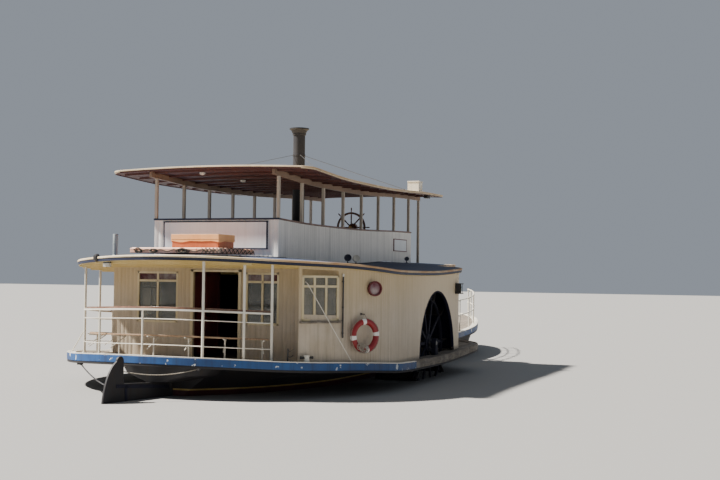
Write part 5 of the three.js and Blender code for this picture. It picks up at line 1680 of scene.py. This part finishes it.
def makeWallFittings():
    face = wallRadius + wall["thickness"] / 2
    # the round lamp on the wall, which looks aft and outward
    angle, facing, height, r = wallLamp.values()
    at, out = onStern(angle, face + .1, height), outward(facing)
    bm = bmesh.new()
    lathe(bm, [(.001, -.06), (r * .8, -.06), (r * .97, -.045), (r, -.02), (r, .03), (r - .008, .042), (r - .03, .045),
               (r - .038, .03), (r - .04, .008)], at, out, 48)
    rod(bm, onStern(angle, face, height), at - out * .03, .035, 16)
    for turn in clock(8):
        rivet = at + (up(cos(turn)) + out.cross(up(1)) * sin(turn)) * (r - .02)
        rod(bm, rivet + out * .04, rivet + out * .05, .007, 6)
    finish("wall_lamp_case", bm, "maroon", merge=False)
    bm = bmesh.new()
    lathe(bm, [(.001, .03), (r * .45, .026), (r - .04, .01), (r - .04, .001), (.001, .001)], at, out, 48)
    finish("wall_lamp_glass", bm, "mirrorGlass")
    # the boathook on its clips, and the hooks beside the doorway
    bm = bmesh.new()
    foot, head = (onStern(pole["angle"], face + .035, z) for z in (pole["low"], pole["high"]))
    rod(bm, foot, head, .017, 14)
    for share in (.08, .5, .92):
        clip = foot.lerp(head, share)
        rod(bm, clip, clip - outward(pole["angle"]) * .034, .012, 8)
        post(bm, clip - up(.012), .024, .023, 14)
    angle, levels = wallHooks.values()
    bar(bm, onStern(angle, face + .02, levels[0] - .05), onStern(angle, face + .02, levels[-1] + .05), .03, .012)
    out = outward(angle)
    side = out.cross(up(1))
    for level in levels:
        start = onStern(angle, face + .02, level + .02)
        tube(bm, [start, start + out * .06 - side * .03 - up(.03), start + out * .1 - side * .09 + up(.015)], .007)
    finish("wall_hooks", bm, "black", merge=False)
    bm = bmesh.new()
    post(bm, head, .06, .022, 14)
    finish("boathook_tip", bm, "white", bevel=.003)
    # the white rope stay that slants across the quarter window
    bm = bmesh.new()
    high, low = onStern(47.0, 3.99, 3.1), onStern(63.0, 4.04, deckZ(2.3) + .02)
    tube(bm, [high, low], .009, smooth=False)
    post(bm, low - up(.015), .035, .02)
    rod(bm, high, onStern(47.0, 3.88, 3.14), .008, 8)
    finish("awning_stay", bm, "white", merge=False)


def makeRoofLamps():
    # small lamps that stand on the promenade roof beside the upper deck's starboard side
    black, white = bmesh.new(), bmesh.new()
    for s, y, shell, reach in ((5.4, -2.21, black, .085), (5.4, -2.43, white, .085), (10.4, -2.0, black, .06)):
        foot = Vector((s, y, roofZ(s, y) - .004))
        post(black, foot, .02, .05, 18)
        post(black, foot, .1, .014)
        lathe(shell, [(.001, -.05), (reach * .8, -.045), (reach, -.02), (reach, .045), (reach * .93, .05),
                      (reach * .9, .03), (.001, .02)], foot + up(.07 + reach), (-.8, -.6, 0), 28)
    finish("roof_lamps_dark", black, "navy", merge=False)
    finish("roof_lamp_pale", white, "white", merge=False)
    # lamps under the stern edge of the roof, and under the upper roof
    black, white = bmesh.new(), bmesh.new()
    rim = onStern(-29, roofRadius + .004, roofPlan["rimTop"] + sheer(.7) - .02)
    away = (rim - Vector((sternRadius, 0, rim.z))).normalized()
    lathe(black, [(.001, 0), (.09, 0), (.09, .03), (.07, .08), (.03, .1), (.001, .1)], rim - away * .06, away, 24)
    low = onStern(-24.5, roofRadius - .12, roofPlan["rimBottom"] + sheer(.7))
    block(black, low + Vector((-.02, -.09, -.02)), low + Vector((.02, .09, .04)))
    block(white, low + Vector((-.05, -.075, -.1)), low + Vector((.05, .075, -.015)))
    for s, y in ((2.9, .5), (4.4, .2)):
        lathe(white, [(.001, 0), (.07, 0), (.07, -.02), (.05, -.05), (.001, -.065)],
              (s, y, upperTop(s, y) - upper["edge"]), sides=24)
    box = Vector((11.6, -2.2, upperTop(11.6, -2.2) - upper["edge"]))
    block(black, box + Vector((-.12, -.06, -.09)), box + Vector((.12, .06, .003)))
    finish("lamp_housings", black, "black", merge=False)
    finish("lamp_lenses", white, "lamp", merge=False)


sideLight = {"aft": 9.012, "fore": 9.248, "inner": 3.887, "outer": 4.053, "foot": 2.822, "head": 3.108, "board": .028}


def makeSideLights():
    aft, fore, inner, outer, foot, head, board = sideLight.values()
    for (side, name), look in zip(sides, ("greenGlass", "redGlass")):
        low, high = sorted((side * inner, side * outer))
        back = sorted((side * inner, side * 3.91))
        bm = bmesh.new()
        for y0, y1, z0, z1, end in ((low, high, foot, foot + board, fore), (low, high, head - board, head, fore),
                                    (*back, 2.84, 3.09, fore), (low, high, 2.84, 3.09, 9.03)):
            block(bm, (aft, y0, z0), (end, y1, z1))
        for s in (9.05, 9.21):
            post(bm, Vector((s, side * 4.03, 2.85)), .23, .007, 8)
        post(bm, Vector((9.13, side * 3.97, 3.1)), .007, .05, 20)
        finish("side_light_case_" + name, bm, "black", "side_light_" + name, bevel=.003, merge=False)
        bm = bmesh.new()
        lathe(bm, both([(.001, -.1), (.05, -.1), (.062, -.06), (.066, 0)]), (9.135, side * 3.965, 2.965), sides=28)
        finish("side_light_lens_" + name, bm, look)


def makeSternLines():
    # the fairlead under the deck's edge, and the lines that lead to the rudder
    bm = bmesh.new()
    at, end = onStern(-38.75, 4.0, 1.24), onStern(14, 3.98, deck + sheer(.3) - .2)
    lathe(bm, both([(.001, -.09), (.045, -.09), (.05, -.075), (.03, -.06)]), at, (.62, .78, 0), 24)
    block(bm, at + Vector((-.05, -.05, -.04)), at + Vector((.05, .05, .16)))
    finish("stern_fairlead", bm, "black", merge=False)
    for name, fixed, onBlade, drop, thick, look in (
            ("steering_cable", at, rudderPoint(-1.9, 1.02), .06, .014, "black"),
            ("steering_line", end, rudderPoint(-1.43, 1.27, -.03), .1, .01, "rope")):
        bm = bmesh.new()
        tube(bm, [fixed.lerp(onBlade, share) - up(drop * 4 * share * (1 - share)) for share in spaced(0, 1, 12)],
             thick)
        line = finish(name, bm, look, body=None, crease=60, merge=False)
        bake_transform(line)
    bm = bmesh.new()
    lathe(bm, both([(.001, -.035), (.03, -.035), (.045, -.02)]), end, (0, 1, 0), 20)
    post(bm, end, .06, .014, 10)
    finish("stern_shackle", bm, "steel", merge=False)


# Camera, floor and light

view = {"place": (-31.338, -12.93, 3.3), "way": (.93, .368), "pitch": 1.743, "roll": .7, "lens": 57.5}


def makeCamera():
    pitch, roll = radians(view["pitch"]), radians(view["roll"])
    forward = Vector((*view["way"], 0)).normalized() * cos(pitch) + up(sin(pitch))
    right = forward.cross(up(1)).normalized()
    above = right.cross(forward)
    turn = Matrix((right * cos(roll) + above * sin(roll), above * cos(roll) - right * sin(roll), -forward))
    data = bpy.data.cameras.new("camera")
    data.lens, data.sensor_width, data.clip_end = view["lens"], 36, 400
    camera = bpy.data.objects.new("camera", data)
    bpy.context.scene.collection.objects.link(camera)
    camera.matrix_world = Matrix.Translation(view["place"]) @ turn.transposed().to_4x4()
    bpy.context.scene.camera = camera


def makeFloor():
    bm = bmesh.new()
    block(bm, (-140, -140, water - .02), (160, 140, water))
    material, _, _ = startMaterial("paleFloor", Roughness=.8, Base_Color=rgb(.27, .265, .255))
    addObject("floor", bm, [material])


light = {"around": 73.0, "height": 52.0, "strength": 15.0, "softness": 2.5, "sky": .38}


def makeLight():
    data = bpy.data.lights.new("key", "SUN")
    data.energy, data.angle, data.color = light["strength"], radians(light["softness"]), (1, .95, .88)
    key = bpy.data.objects.new("key", data)
    bpy.context.scene.collection.objects.link(key)
    around, height = radians(light["around"]), radians(light["height"])
    toward = Vector((-cos(around) * cos(height), sin(around) * cos(height), sin(height)))
    key.rotation_euler = toward.to_track_quat("Z", "Y").to_euler()
    world = bpy.data.worlds.new("sky")
    world.use_nodes = True
    background = world.node_tree.nodes["Background"].inputs
    background[0].default_value, background[1].default_value = rgb(.72, .8, .92), light["sky"]
    bpy.context.scene.world = world


def paintKept():
    # every CAD piece that still shows takes the first finish of its material slot
    bySlot = {}
    for name, (slot, *_) in finishes.items():
        bySlot.setdefault(slot, materials[name])
    slots = {subpart["node"]: subpart["material_slot"] for subpart in frame["record"]["subparts"]}
    shown = [name for name, node in frame["nodes"].items() if not node.hide_render]
    for name in shown:
        for slot in frame["nodes"][name].material_slots:
            slot.link, slot.material = "OBJECT", bySlot[slots[name]]
    print("CAD pieces shown:", ", ".join(sorted(shown)))


# Placing everything

for stage in (makeHull, makeStrakes, makeGuard, makeDeckBeams, makeRudder, makeBowRail, makeBitts,
              makeForedeckHatch, makeStair, makeQuarterWall, makeBoxWalls, makeArchLips, makeBulkheads,
              makeCabinSides, makeWindows, makeDoors, makeRoof, makeRim, makeRoofBeams, makePorchRail,
              makeSternBench, makeParapets, makeSigns, makeUpperRoof, makeUpperFrame, makeFunnel, makeHelm,
              makeUpperBenches, makeRoofBox, makeWheels, makeShaft, makeBoiler, makeEngine, makeLifeRing, makeRafts,
              makeRaftRopes, makeVent, makeBollard, makeWallFittings, makeRoofLamps, makeSideLights, makeSternLines,
              paintKept, makeCamera, makeFloor, makeLight):
    stage()
    print("made:", stage.__name__)
